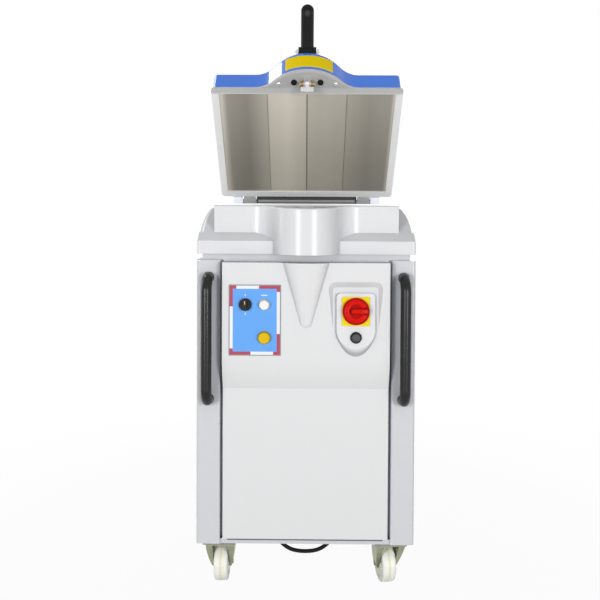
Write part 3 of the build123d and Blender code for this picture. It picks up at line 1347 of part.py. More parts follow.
def castor_fork():
    """The pressed fork and its kingpin, with the axle bolt, swivelling about z."""
    race_top = BASE_HEIGHT - CASTOR_PLATE_THICK - FIT
    crown_low = race_top - RACE_HEIGHT - FORK_CROWN
    gap = WHEEL_WIDTH / 2 + FORK_GAP
    foot = WHEEL_RADIUS - FORK_EYE_RADIUS - FORK_GAP
    inside = Polyline(
        (FORK_TOP_HALF_WIDTH, crown_low), (gap, crown_low), (gap, foot), (FORK_FOOT_HALF_WIDTH, foot)
    )
    bow = ThreePointArc(
        (FORK_FOOT_HALF_WIDTH, foot),
        (FORK_BOW_HALF_WIDTH, (crown_low + foot) / 2),
        (FORK_TOP_HALF_WIDTH, crown_low),
    )
    front_view = make_face([inside.edges(), bow])
    leg = Plane.XZ * extrude(front_view, CASTOR_TRAIL + RACE_RADIUS + FORK_EYE_RADIUS, both=True)
    eye = Vector(CASTOR_TRAIL, WHEEL_RADIUS)
    side_view = make_hull(
        [
            *(Pos(eye.X, eye.Y) * Circle(FORK_EYE_RADIUS)).edges(),
            *Line((-RACE_RADIUS + FORK_CROWN, crown_low), (FORK_BACK + FORK_CROWN, crown_low)).edges(),
        ]
    )
    leg &= Plane.YZ * extrude(side_view, FORK_TOP_HALF_WIDTH, both=True)
    crown = box_between(
        (-FORK_TOP_HALF_WIDTH, FORK_CROWN - RACE_RADIUS, crown_low),
        (FORK_TOP_HALF_WIDTH, FORK_BACK + FORK_CROWN, crown_low + FORK_CROWN),
    )
    fork = crown + disc(RACE_RADIUS, crown_low + FORK_CROWN, race_top)
    fork += disc(KINGPIN_RADIUS, race_top, BASE_HEIGHT - FIT)
    for side in both_sides(leg):
        fork += side
    axle = bar_along_x(AXLE_RADIUS, FORK_FOOT_HALF_WIDTH, CASTOR_TRAIL, WHEEL_RADIUS)
    fork -= axle
    return [fork, axle]


def castor_wheel():
    """A nylon wheel with rounded tread edges and dished faces."""
    half = WHEEL_WIDTH / 2
    wheel = disc(WHEEL_RADIUS, -half, half)
    wheel = fillet(wheel.edges(), WHEEL_ROUND)
    dish = disc(WHEEL_DISH_RADIUS, half - WHEEL_DISH_DEPTH, half)
    dish -= disc(WHEEL_HUB_RADIUS, half - WHEEL_DISH_DEPTH, half)
    wheel -= dish
    wheel -= mirror(dish, about=Plane.XY)
    wheel -= disc(AXLE_RADIUS + AXLE_CLEARANCE, -half, half)
    return Pos(0, CASTOR_TRAIL, WHEEL_RADIUS) * Rot(0, 90, 0) * wheel


# Hose loop and glands


def oil_hose():
    """The loop hangs under the base pan between its two fittings."""
    points = [Vector(x, HOSE_Y, BASE_HEIGHT - FITTING_FLANGE - drop) for x, drop in HOSE_POINTS]
    runs = [after - before for before, after in zip(points, points[1:])]
    radii = []
    for before, after in zip(runs, runs[1:]):
        half_turn = math.radians(before.get_angle(after) / 2)
        radii.append(HOSE_RUN_SHARE * min(before.length, after.length) / math.tan(half_turn))
    print("hose bend radii", [round(radius, 1) for radius in radii])
    path = FilletPolyline(points, radius=radii)
    hose = sweep(Plane(points[0], z_dir=(0, 0, -1)) * Circle(HOSE_DIAMETER / 2), path)
    expected = math.pi * HOSE_DIAMETER**2 / 4 * path.length
    print("hose length", round(path.length, 1))
    print("hose volume over section times length", round(hose.volume / expected, 4))
    return hose


def hose_fittings():
    """Two fittings through the base pan that hold the ends of the hose."""
    fitting = extrude(RegularPolygon(FITTING_RADIUS, 6), FITTING_FLANGE)
    fitting = Pos(0, 0, BASE_HEIGHT - FITTING_FLANGE) * fitting
    fitting += disc(FITTING_NECK_RADIUS, BASE_HEIGHT, BASE_HEIGHT + FITTING_RISE)
    return [Pos(x, HOSE_Y, 0) * fitting for x, _ in (HOSE_POINTS[0], HOSE_POINTS[-1])]


def cable_gland():
    """The mains gland through the rear panel."""
    outer = BACK + SHEET
    gland = disc(GLAND_BODY_RADIUS, -GLAND_LENGTH / 2 - SHEET, GLAND_LENGTH)
    gland += extrude(RegularPolygon(GLAND_NUT_RADIUS, 6), GLAND_NUT_HEIGHT)
    gland = fillet(edges_at(gland, GLAND_LENGTH, GLAND_LENGTH), CAP_ROUND)
    gland -= disc(GLAND_BORE_RADIUS, -GLAND_LENGTH, GLAND_LENGTH)
    return Plane((GLAND_X, outer, GLAND_Z), x_dir=(1, 0, 0), z_dir=(0, 1, 0)).location * gland


# Every node by its name


def nodes():
    right_panel = side_panel()
    right_handle = side_handle()
    found = {
        "base_pan": base_pan(),
        "chassis_frame": chassis_frame(),
        "right_side_panel": right_panel,
        "left_side_panel": mirror(right_panel, about=Plane.YZ),
        "rear_panel": rear_panel(),
        "front_panel": front_panel(),
        "neck_band": neck_band(),
        "top_cover": top_cover(),
        "latch_striker": latch_striker(),
        "dough_tank": dough_tank(),
        "control_plate": control_plate(),
        "button_bezels": button_bezels(),
        "contact_blocks": contact_blocks(),
        "switch_plinth": switch_plinth(),
        "switch_plate": switch_plate(),
        "right_side_handle": right_handle,
        "left_side_handle": mirror(right_handle, about=Plane.YZ),
        "hinge_blocks": hinge_blocks(),
        "hinge_bar": hinge_bar(),
        "spring_box": spring_box(),
        "lift_cylinder": lift_cylinder(),
        "knife_cylinders": knife_cylinders(),
        "guide_columns": guide_columns(),
        "oil_tank": oil_tank(),
        "pump_unit": pump_unit(),
        "valve_block": valve_block(),
        "pressure_pipe": pressure_pipe(),
        "control_box": control_box(),
        "castor_plates": castor_plates(),
        "oil_hose": oil_hose(),
        "hose_fittings": hose_fittings(),
        "cable_gland": cable_gland(),
        "pusher_blocks": pusher_blocks(),
        "platen_carrier": platen_carrier(),
        "piston_rod": piston_rod(),
        "knife_grid": knife_grid(),
        "knife_ring": knife_ring(),
        "selector_knob": selector_knob(),
        "white_button": press_cap(white_place(), WHITE_RING_RADIUS),
        "yellow_button": press_cap(yellow_place(), YELLOW_RING_RADIUS),
        "black_button": press_cap(black_place(), BLACK_RING_RADIUS),
        "switch_knob": switch_knob(),
    }
    lid = {
        "lid_cover": lid_cover(),
        "lid_frame": lid_frame(),
        "press_plate": press_plate(),
        "nose_plate": nose_plate(),
        "hinge_arms": hinge_arms(),
        "lid_buffers": lid_buffers(),
        "latch_pin": latch_pin(),
        "latch_hook": latch_hook(),
        "handle_ears": handle_ears(),
        "lid_handle": lid_handle(),
    }
    for name, piece in lid.items():
        found[name] = [opened(solid) for solid in piece] if isinstance(piece, list) else opened(piece)
    fork = castor_fork()
    wheel = castor_wheel()
    for name, x, y, turn in castor_places():
        place = Pos(x, y, 0) * Rot(0, 0, turn)
        found[f"{name}_fork"] = [place * solid for solid in fork]
        found[f"{name}_wheel"] = place * wheel
    return found


def main():
    os.makedirs("parts", exist_ok=True)
    for name, piece in nodes().items():
        shape = Compound(children=piece) if isinstance(piece, list) else piece
        export_step(shape, f"parts/{name}.step")


main()
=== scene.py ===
# %% [markdown]
# # A dough divider in a white studio
# The machine's solids come from a CAD frame: cabinet, top cover, lid, tank, controls and castors.
# This lesson dresses them. Each solid gets a finish made of shader nodes, and the small things
# that a CAD model leaves out, such as screws, printed marks and seals, are modelled here.

# %% Load the frame
import json
import math

import bmesh
import bpy
from mathutils import Matrix, Vector


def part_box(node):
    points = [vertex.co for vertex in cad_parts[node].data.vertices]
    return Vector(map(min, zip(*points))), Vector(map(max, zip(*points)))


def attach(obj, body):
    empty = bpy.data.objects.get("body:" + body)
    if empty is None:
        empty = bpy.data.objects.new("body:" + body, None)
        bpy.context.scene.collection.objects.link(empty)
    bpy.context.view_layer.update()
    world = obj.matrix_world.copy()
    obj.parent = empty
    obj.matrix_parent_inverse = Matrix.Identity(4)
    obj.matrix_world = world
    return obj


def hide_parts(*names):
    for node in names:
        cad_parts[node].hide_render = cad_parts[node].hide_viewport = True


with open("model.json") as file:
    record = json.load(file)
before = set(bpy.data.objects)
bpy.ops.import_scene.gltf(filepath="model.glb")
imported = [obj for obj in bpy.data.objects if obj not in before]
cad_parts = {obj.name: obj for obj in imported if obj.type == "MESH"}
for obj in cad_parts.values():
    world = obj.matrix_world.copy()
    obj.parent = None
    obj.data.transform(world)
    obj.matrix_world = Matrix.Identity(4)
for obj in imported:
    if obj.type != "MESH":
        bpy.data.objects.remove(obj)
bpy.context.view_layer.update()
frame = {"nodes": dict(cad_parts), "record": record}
nodes = frame["nodes"]

# %% [markdown]
# ## The camera
# The photographer stood about two metres in front of the console, with the lens just under the
# top of the cover, so the cover is seen edge on. The lens dips a little and the camera leans and
# turns by fractions of a degree. A small shift takes in the castors without making the posts lean.

# %% Camera
PHOTO_SIZE = 600
FOCAL_PIXELS = 763.0
SENSOR_MM = 36.0
CAMERA_PLACE = Vector((0.0, -2.272, 1.0))
CAMERA_DIP = math.radians(1.36)
CAMERA_ROLL = math.radians(0.29)
CAMERA_TURN = math.radians(0.48)
CAMERA_SHIFT_Y = -0.11
QUARTER_TURN = math.pi / 2


def add_camera():
    data = bpy.data.cameras.new("photo_camera")
    data.sensor_width = SENSOR_MM
    data.lens = FOCAL_PIXELS * SENSOR_MM / PHOTO_SIZE
    data.shift_y = CAMERA_SHIFT_Y
    camera = bpy.data.objects.new("photo_camera", data)
    bpy.context.scene.collection.objects.link(camera)
    upright = Matrix.Rotation(CAMERA_TURN, 4, "Z") @ Matrix.Rotation(QUARTER_TURN - CAMERA_DIP, 4, "X")
    facing = upright @ Matrix.Rotation(CAMERA_ROLL, 4, "Z")
    camera.matrix_world = Matrix.Translation(CAMERA_PLACE) @ facing
    bpy.context.scene.camera = camera
    return camera


camera = add_camera()
print("lens", round(camera.data.lens, 2), "mm")

# %% [markdown]
# ## The studio
# Camera, mirror and glass rays see a plain white world, while the light that falls on the machine
# comes from a dim world and six soft lamps. One lamp at the camera would flatten the console, so
# two tall ones stand in front, to its left and right. Faces that look forward are bright, and the
# ledge and the cheeks, which look up and sideways, fall off. A small high lamp puts a gloss on the
# lid's nose, and lamps at both sides and behind keep the rest readable.

# %% Node helpers
def add_node(tree, kind, **settings):
    node = tree.nodes.new(kind)
    for name, value in settings.items():
        setattr(node, name, value)
    return node


def feed(tree, socket, value):
    """Link an input to the socket that is given, or set it to the value that is given."""
    if isinstance(value, bpy.types.NodeSocket):
        tree.links.new(value, socket)
    else:
        socket.default_value = value


def math_node(tree, operation, *values):
    """A math node: each value is a socket to link or a number to set."""
    node = add_node(tree, "ShaderNodeMath", operation=operation)
    for socket, value in zip(node.inputs, values):
        feed(tree, socket, value)
    return node.outputs["Value"]


def mix_shaders(tree, share, first, second, out):
    """Put out the first shader where the share is 0 and the second where it is 1."""
    mix = add_node(tree, "ShaderNodeMixShader")
    tree.links.new(share, mix.inputs["Fac"])
    tree.links.new(first, mix.inputs[1])
    tree.links.new(second, mix.inputs[2])
    tree.links.new(mix.outputs["Shader"], out.inputs["Surface"])


# %% World
SEEING_RAYS = ("Is Camera Ray", "Is Glossy Ray", "Is Transmission Ray")
WORLD_LIGHT = 0.2
WORLD_TINT = (0.93, 0.96, 1.0)


def seeing_share(tree):
    """A socket that is 1 for the rays that see the background and 0 for those that only carry light."""
    path = add_node(tree, "ShaderNodeLightPath")
    share = path.outputs[SEEING_RAYS[0]]
    for kind in SEEING_RAYS[1:]:
        share = math_node(tree, "MAXIMUM", share, path.outputs[kind])
    return share


def add_world():
    world = bpy.data.worlds.new("studio")
    bpy.context.scene.world = world
    world.use_nodes = True
    tree = world.node_tree
    tree.nodes.clear()
    lit = add_node(tree, "ShaderNodeBackground")
    lit.inputs["Color"].default_value = (*WORLD_TINT, 1)
    lit.inputs["Strength"].default_value = WORLD_LIGHT
    plain = add_node(tree, "ShaderNodeBackground")
    plain.inputs["Color"].default_value = (1, 1, 1, 1)
    out = add_node(tree, "ShaderNodeOutputWorld")
    mix_shaders(tree, seeing_share(tree), lit.outputs["Background"], plain.outputs["Background"], out)
    bpy.context.scene.view_settings.view_transform = "Standard"
    return world


print("world", add_world().name)

# %% Lamps
MACHINE_MIDDLE = (0, 0, 0.8)
LID_NOSE = (-0.085, -0.16, 1.39)


def add_lamp(name, place, target, size, watts):
    data = bpy.data.lights.new(name, "AREA")
    data.shape = "RECTANGLE"
    data.size, data.size_y = size
    data.energy = watts
    lamp = bpy.data.objects.new(name, data)
    bpy.context.scene.collection.objects.link(lamp)
    facing = (Vector(target) - Vector(place)).to_track_quat("-Z", "Y").to_matrix().to_4x4()
    lamp.matrix_world = Matrix.Translation(place) @ facing


add_lamp("key_left", (-2.2, -4.3, 1.0), MACHINE_MIDDLE, (0.8, 1.7), 89)
add_lamp("key_right", (2.2, -4.3, 1.0), MACHINE_MIDDLE, (0.8, 1.7), 95)
add_lamp("high_left", (-1.54, 1.2, 3.1), LID_NOSE, (0.62, 0.62), 10)
add_lamp("side_left", (-2.9, 0.6, 1.5), MACHINE_MIDDLE, (1.2, 2.0), 22)
add_lamp("side_right", (2.6, 2.2, 1.4), MACHINE_MIDDLE, (1.2, 2.0), 12)
add_lamp("back", (0.8, 3.3, 1.9), MACHINE_MIDDLE, (2.0, 2.0), 60)
print("lamps", len(bpy.data.lights))

# %% [markdown]
# ## The floor
# The floor keeps the machine's shadow near its castors. Away from the machine it turns into the
# same plain white as the world, so no horizon shows. A shadow catcher would also do this, but only
# with a compositor behind it, so the floor mixes a lit and a glowing shader by distance instead.

# %% Fades over a distance
def object_place(tree):
    return add_node(tree, "ShaderNodeTexCoord").outputs["Object"]


def measure(tree, operation, against=(0, 0, 0)):
    """A vector measure of where a point lies on the object, such as its distance from a place."""
    node = add_node(tree, "ShaderNodeVectorMath", operation=operation)
    tree.links.new(object_place(tree), node.inputs[0])
    node.inputs[1].default_value = against
    return node.outputs["Value"]


def fade_between(tree, value, span, tones):
    """A smooth step from one tone to another while a value crosses a span."""
    fade = add_node(tree, "ShaderNodeMapRange", interpolation_type="SMOOTHSTEP")
    tree.links.new(value, fade.inputs["Value"])
    for label, number in zip(("From Min", "From Max", "To Min", "To Max"), (*span, *tones)):
        fade.inputs[label].default_value = number
    return fade.outputs["Result"]


# %% Floor
FLOOR_HALF = 12.0
FLOOR_WHITE_NEAR = 0.955
FLOOR_GREY = 0.45
SHADOW_REACH = (0.5, 1.9)


def make_floor_material():
    material = bpy.data.materials.new("floor_white")
    material.use_nodes = True
    tree = material.node_tree
    tree.nodes.clear()
    lit = add_node(tree, "ShaderNodeBsdfDiffuse")
    lit.inputs["Color"].default_value = (FLOOR_GREY, FLOOR_GREY, FLOOR_GREY, 1)
    white = add_node(tree, "ShaderNodeEmission")
    glow = fade_between(tree, measure(tree, "LENGTH"), SHADOW_REACH, (FLOOR_WHITE_NEAR, 1))
    share = math_node(tree, "MULTIPLY", seeing_share(tree), glow)
    out = add_node(tree, "ShaderNodeOutputMaterial")
    mix_shaders(tree, share, lit.outputs["BSDF"], white.outputs["Emission"], out)
    return material


def add_floor():
    bm = bmesh.new()
    bmesh.ops.create_grid(bm, x_segments=1, y_segments=1, size=FLOOR_HALF)
    mesh = bpy.data.meshes.new("floor")
    bm.to_mesh(mesh)
    bm.free()
    floor = bpy.data.objects.new("floor", mesh)
    bpy.context.scene.collection.objects.link(floor)
    mesh.materials.append(make_floor_material())
    return floor


print("floor", add_floor().name)

# %% [markdown]
# ## Finishes that several materials share
# Real paint is never one flat colour. Four node groups are built once and placed in many materials: soft
# mottling with specks, the fine skin of a coating, brush lines, and painted shade in the corners. A group
# keeps one effect in one place, and each material sets its own values on it.

# %% Node group helpers
FLOAT = "NodeSocketFloat"
COLOUR = "NodeSocketColor"
WHITE = (1, 1, 1, 1)
MID_GREY = (0.5, 0.5, 0.5, 1)
NOISE_MIDDLE = 0.5


def new_group(name, inputs, outputs):
    """A shader node group with named float or colour sockets, and its in and out nodes."""
    group = bpy.data.node_groups.new(name, "ShaderNodeTree")
    for label, kind, default in inputs:
        socket = group.interface.new_socket(name=label, in_out="INPUT", socket_type=kind)
        socket.default_value = default
    for label, kind in outputs:
        group.interface.new_socket(name=label, in_out="OUTPUT", socket_type=kind)
    return group, group.nodes.new("NodeGroupInput"), group.nodes.new("NodeGroupOutput")


def add_noise(tree, vector, scale, detail=2):
    noise = add_node(tree, "ShaderNodeTexNoise")
    feed(tree, noise.inputs["Vector"], vector)
    feed(tree, noise.inputs["Scale"], scale)
    noise.inputs["Detail"].default_value = detail
    return noise.outputs["Fac"]


def mix_colours(tree, share, first, second, blend="MIX"):
    """A mix of two colours: each input is a socket to link or a value to set."""
    mix = add_node(tree, "ShaderNodeMix", data_type="RGBA", blend_type=blend)
    for label, value in (("Factor", share), ("A", first), ("B", second)):
        feed(tree, mix.inputs[label], value)
    return mix.outputs["Result"]


def vary_roughness(group, given, noise, out):
    """Spread the given roughness about its value by a noise."""
    centred = math_node(group, "SUBTRACT", noise, NOISE_MIDDLE)
    spread = math_node(group, "MULTIPLY", centred, given.outputs["Spread"])
    group.links.new(math_node(group, "ADD", given.outputs["Roughness"], spread), out.inputs["Roughness"])


# %% Mottle group: clouds of tone and specks
CLOUD_DETAIL = 5
SPECK_DETAIL = 1
SPECK_LEVEL = 0.68


def make_mottle_group():
    group, given, out = new_group(
        "mottle",
        [("Colour", COLOUR, WHITE), ("Tone", COLOUR, MID_GREY),
         ("Cloud Scale", FLOAT, 4.0), ("Cloud Amount", FLOAT, 0.2),
         ("Speck Scale", FLOAT, 400.0), ("Speck Amount", FLOAT, 0.1)],
        [("Colour", COLOUR)],
    )
    place = object_place(group)
    cloud = add_noise(group, place, given.outputs["Cloud Scale"], CLOUD_DETAIL)
    speck = add_noise(group, place, given.outputs["Speck Scale"], SPECK_DETAIL)
    dots = math_node(group, "GREATER_THAN", speck, SPECK_LEVEL)
    soft = math_node(group, "MULTIPLY", cloud, given.outputs["Cloud Amount"])
    sharp = math_node(group, "MULTIPLY", dots, given.outputs["Speck Amount"])
    mask = math_node(group, "ADD", soft, sharp)
    mixed = mix_colours(group, mask, given.outputs["Colour"], given.outputs["Tone"])
    group.links.new(mixed, out.inputs["Colour"])
    return group


mottle_group = make_mottle_group()

# %% Skin group: the orange peel of paint, or the grain of a moulding
def make_skin_group():
    group, given, out = new_group(
        "skin",
        [("Fine Scale", FLOAT, 900.0), ("Wave Scale", FLOAT, 30.0), ("Wave Share", FLOAT, 0.4),
         ("Roughness", FLOAT, 0.35), ("Spread", FLOAT, 0.1)],
        [("Height", FLOAT), ("Roughness", FLOAT)],
    )
    place = object_place(group)
    fine = add_noise(group, place, given.outputs["Fine Scale"])
    wave = add_noise(group, place, given.outputs["Wave Scale"])
    slow = math_node(group, "MULTIPLY", wave, given.outputs["Wave Share"])
    group.links.new(math_node(group, "ADD", fine, slow), out.inputs["Height"])
    vary_roughness(group, given, wave, out)
    return group


skin_group = make_skin_group()

# %% Brush group: fine lines drawn along one direction
LINE_SCALE = 1
LINE_DETAIL = 4


def make_brush_group():
    group, given, out = new_group(
        "brush",
        [("Along X", FLOAT, 4.0), ("Along Y", FLOAT, 300.0), ("Along Z", FLOAT, 300.0),
         ("Roughness", FLOAT, 0.3), ("Spread", FLOAT, 0.2)],
        [("Lines", FLOAT), ("Roughness", FLOAT)],
    )
    parts = add_node(group, "ShaderNodeCombineXYZ")
    for axis in "XYZ":
        group.links.new(given.outputs[f"Along {axis}"], parts.inputs[axis])
    stretch = add_node(group, "ShaderNodeVectorMath", operation="MULTIPLY")
    group.links.new(object_place(group), stretch.inputs[0])
    group.links.new(parts.outputs["Vector"], stretch.inputs[1])
    lines = add_noise(group, stretch.outputs["Vector"], LINE_SCALE, LINE_DETAIL)
    group.links.new(lines, out.inputs["Lines"])
    vary_roughness(group, given, lines, out)
    return group


brush_group = make_brush_group()

# %% Corner shade group: the less open sky a point has, the more of its colour is painted shade
def make_corner_shade_group():
    group, given, out = new_group(
        "corner_shade",
        [("Colour", COLOUR, WHITE), ("Shade", COLOUR, MID_GREY),
         ("Open Sky", FLOAT, 1.0), ("Amount", FLOAT, 0.5)],
        [("Colour", COLOUR)],
    )
    hidden = math_node(group, "SUBTRACT", 1.0, given.outputs["Open Sky"])
    share = math_node(group, "MULTIPLY", hidden, given.outputs["Amount"])
    share.node.use_clamp = True
    mixed = mix_colours(group, share, given.outputs["Colour"], given.outputs["Shade"])
    group.links.new(mixed, out.inputs["Colour"])
    return group


corner_shade_group = make_corner_shade_group()
print("node groups", [group.name for group in bpy.data.node_groups])

# %% [markdown]
# ## Building one material
# Each finish is a Principled shader. On paint, plastic and rubber its colour comes from the mottle
# group, and its bump and roughness from the skin group. On metal all three come from the brush
# group. Values that are the same all over the surface are set on the shader itself.

# %% Material helpers
def place_group(tree, group, values):
    node = add_node(tree, "ShaderNodeGroup", node_tree=group)
    for label, value in values.items():
        node.inputs[label].default_value = value
    return node


def start_material(name, constants):
    material = bpy.data.materials.new(name)
    material.use_nodes = True
    shader = material.node_tree.nodes["Principled BSDF"]
    for label, value in constants.items():
        shader.inputs[label].default_value = value
    return material, material.node_tree, shader


def add_bump(tree, shader, height, strength, distance):
    bump = add_node(tree, "ShaderNodeBump")
    bump.inputs["Strength"].default_value = strength
    bump.inputs["Distance"].default_value = distance
    tree.links.new(height, bump.inputs["Height"])
    tree.links.new(bump.outputs["Normal"], shader.inputs["Normal"])


# %% Coated and brushed finishes
def coated(name, colour, tone, cloud=(4.0, 0.2), speck=(400.0, 0.06), fine=900.0, wave=(30.0, 0.4),
           roughness=0.35, spread=0.12, bump=(0.15, 0.0003), specular=0.5, coat=(0.0, 0.03)):
    """Paint, plastic or rubber: mottled colour under a fine skin, with a weight and roughness of coat."""
    material, tree, shader = start_material(name, {
        "Specular IOR Level": specular, "Coat Weight": coat[0], "Coat Roughness": coat[1]})
    mottle = place_group(tree, mottle_group, {
        "Colour": (*colour, 1), "Tone": (*tone, 1), "Cloud Scale": cloud[0], "Cloud Amount": cloud[1],
        "Speck Scale": speck[0], "Speck Amount": speck[1]})
    tree.links.new(mottle.outputs["Colour"], shader.inputs["Base Color"])
    skin = place_group(tree, skin_group, {
        "Fine Scale": fine, "Wave Scale": wave[0], "Wave Share": wave[1], "Roughness": roughness,
        "Spread": spread})
    tree.links.new(skin.outputs["Roughness"], shader.inputs["Roughness"])
    add_bump(tree, shader, skin.outputs["Height"], *bump)
    return material


def brushed(name, colour, tone, lines=(4.0, 300.0, 300.0), roughness=0.32, spread=0.25,
            bump=(0.12, 0.0002), metallic=1.0):
    """Metal with brush lines: they tint the colour, roughen it and raise a faint bump."""
    material, tree, shader = start_material(name, {"Metallic": metallic})
    brush = place_group(tree, brush_group, {
        "Along X": lines[0], "Along Y": lines[1], "Along Z": lines[2], "Roughness": roughness,
        "Spread": spread})
    mixed = mix_colours(tree, brush.outputs["Lines"], (*colour, 1), (*tone, 1))
    tree.links.new(mixed, shader.inputs["Base Color"])
    tree.links.new(brush.outputs["Roughness"], shader.inputs["Roughness"])
    add_bump(tree, shader, brush.outputs["Lines"], *bump)
    return material


# %% [markdown]
# ## Tones that follow the form
# Some finishes change over one part: painted bands of light and shade, a painted shade at a foot, a painted
# light in a dimple. Painting an image would fix them to one resolution, so here a finished material's colour
# is passed on through a few more nodes that read where on the part a point lies. Such a change is a function
# of the colour.

# %% Colour changes
def recolour(material, change):
    """Pass a material's colour through a change, which is given the node tree and the colour's socket."""
    tree = material.node_tree
    target = tree.nodes["Principled BSDF"].inputs["Base Color"]
    tree.links.new(change(tree, target.links[0].from_socket), target)


def shaded(tree, colour, tone):
    """A colour times a tone."""
    return mix_colours(tree, 1, colour, tone, "MULTIPLY")


def place_parts(tree):
    """The object's coordinates as three sockets."""
    parts = add_node(tree, "ShaderNodeSeparateXYZ")
    tree.links.new(object_place(tree), parts.inputs["Vector"])
    return parts.outputs


def tone_ramp(tree, value, span, stops):
    """A grey that changes along a value: the stops are places in the span with their tones."""
    low, high = span
    ramp = add_node(tree, "ShaderNodeValToRGB")
    steps = ramp.color_ramp.elements
    while len(steps) < len(stops):
        steps.new(0.5)
    for step, (place, grey) in zip(steps, stops):
        step.position = (place - low) / (high - low)
        step.color = (grey, grey, grey, 1)
    share = math_node(tree, "DIVIDE", math_node(tree, "SUBTRACT", value, low), high - low)
    tree.links.new(share, ramp.inputs["Fac"])
    return ramp.outputs["Color"]


# %% [markdown]
# ## Paints
# The cabinet is powder coated in white. Its sides and base pan are a greyer copy of that paint, as painted
# shade. The moulded cover is glossier, and the lid has a clear coat over blue. Corners, gaps and recesses,
# where shade falls, are darkened by a painted shade. Blender's Ambient Occlusion node measures how much sky a
# point sees. It depends on the scene, so it stays in the material, and the corner shade group turns its value
# into the painted shade.

# %% Paints
cabinet_paint = coated(
    "cabinet_paint", (0.8, 0.8, 0.802), (0.72, 0.72, 0.727), cloud=(2.0, 0.12), speck=(400.0, 0.03),
    roughness=0.34, specular=0.2, coat=(0.08, 0.12))
# Painted shade: a greyer copy of the cabinet paint for the side panels and base pan.
shaded_side_paint = coated(
    "shaded_side_paint", (0.68, 0.688, 0.705), (0.61, 0.617, 0.635), cloud=(2.0, 0.12), speck=(400.0, 0.03),
    roughness=0.3, specular=0.25, coat=(0.15, 0.12))
cover_gloss = coated(
    "cover_gloss", (0.79, 0.79, 0.795), (0.71, 0.71, 0.725), cloud=(2.5, 0.12), speck=(400.0, 0.03),
    roughness=0.24, wave=(14.0, 0.8), specular=0.22, coat=(0.16, 0.24))
lid_blue = coated(
    "lid_blue", (0.024, 0.2, 0.88), (0.02, 0.16, 0.78), cloud=(5.0, 0.2), speck=(400.0, 0.03),
    roughness=0.3, wave=(12.0, 1.0), specular=0.05, coat=(0.9, 0.08))
machinery_paint = coated(
    "machinery_paint", (0.16, 0.19, 0.22), (0.08, 0.09, 0.1), cloud=(8.0, 0.5), speck=(200.0, 0.2),
    roughness=0.45)

# %% Painted shade in the corners
SKY_SAMPLES = 8
CORNER_REACH = 0.05
CORNER_AMOUNT = 0.75
CORNER_SHADE = (0.36, 0.385, 0.44)


# Painted shade: the colour turns blue-grey where the Ambient Occlusion node finds little open sky.
def add_corner_shade(tree, unshaded):
    sky = add_node(tree, "ShaderNodeAmbientOcclusion", samples=SKY_SAMPLES)
    sky.inputs["Distance"].default_value = CORNER_REACH
    painted_shade = place_group(tree, corner_shade_group, {"Shade": (*CORNER_SHADE, 1), "Amount": CORNER_AMOUNT})
    tree.links.new(sky.outputs["AO"], painted_shade.inputs["Open Sky"])
    tree.links.new(unshaded, painted_shade.inputs["Colour"])
    return painted_shade.outputs["Colour"]


corner_shaded_paints = (cabinet_paint, shaded_side_paint, cover_gloss)
for paint in corner_shaded_paints:
    recolour(paint, add_corner_shade)
print("paints with dust", [paint.name for paint in corner_shaded_paints])

# %% [markdown]
# ## The spring box
# Between the hinge arms lies a box of folded sheet that hides the lid's spring. The light and shade on its
# folds are painted as bands of tone, and the shade along the lip at its top and ends is painted nearly black.
# The lip is hidden from most sides, so a ramp up the box paints bands and lip without more geometry. Places
# are in metres.

# %% Spring box
BOX_SPAN = (1.022, 1.061)
BOX_LIP_SHADE = 0.05
BOX_LIP_X = 0.153
BOX_SHADE_STOPS = [
    (1.034, 0.8), (1.0375, 0.75), (1.04, 0.34), (1.0425, 0.34), (1.045, 0.9), (1.0495, 1.0),
    (1.0508, BOX_LIP_SHADE),
]


# Painted light and shade: bands up the box, and a nearly black painted shade on the lip.
def add_box_shading(tree, plain):
    parts = place_parts(tree)
    bands = tone_ramp(tree, parts["Z"], BOX_SPAN, BOX_SHADE_STOPS)
    inside = math_node(tree, "LESS_THAN", math_node(tree, "ABSOLUTE", parts["X"]), BOX_LIP_X)
    ends = math_node(tree, "MAXIMUM", inside, BOX_LIP_SHADE)
    return shaded(tree, shaded(tree, plain, bands), ends)


spring_box_paint = coated(
    "spring_box_paint", (0.42, 0.4, 0.345), (0.3, 0.28, 0.235), cloud=(12.0, 0.3), roughness=0.38)
recolour(spring_box_paint, add_box_shading)
print("bands on the spring box", len(BOX_SHADE_STOPS))

# %% [markdown]
# ## The press plate
# The steel plate under the lid was polished in four strips between its grooves. Each strip's run of light and
# dark and the bright rim at both sides are a painted reflection: reflections alone would need a whole bakery
# around the machine, so a ramp across the plate gives each strip three painted tones. A slow fade paints the
# plate brighter towards its front edge.

# %% Press plate
PLATE_HALF = 0.246
STRIP_HALF = 0.25
STRIP_EDGES = (-0.229, -0.11, 0.0, 0.11, 0.24)
STRIP_GAP = 0.004
STRIP_REFLECTION_TONES = [(0.38, 0.33, 0.57), (0.74, 0.82, 0.7), (0.62, 0.6, 0.54), (0.5, 0.38, 0.38)]
STRIP_RIM_REFLECTION = 0.8
REFLECTION_FADE = (1.12, 1.34)
REFLECTION_FADE_TONES = (0.84, 1.1)


def reflection_stops():
    """Places across the plate with their painted reflection tones: three on each strip, and one at each
    bright rim.
    """
    stops = [(-PLATE_HALF, STRIP_RIM_REFLECTION)]
    for left, right, tones in zip(STRIP_EDGES, STRIP_EDGES[1:], STRIP_REFLECTION_TONES):
        stops += zip((left + STRIP_GAP, (left + right) / 2, right - STRIP_GAP), tones)
    return stops + [(PLATE_HALF, STRIP_RIM_REFLECTION)]


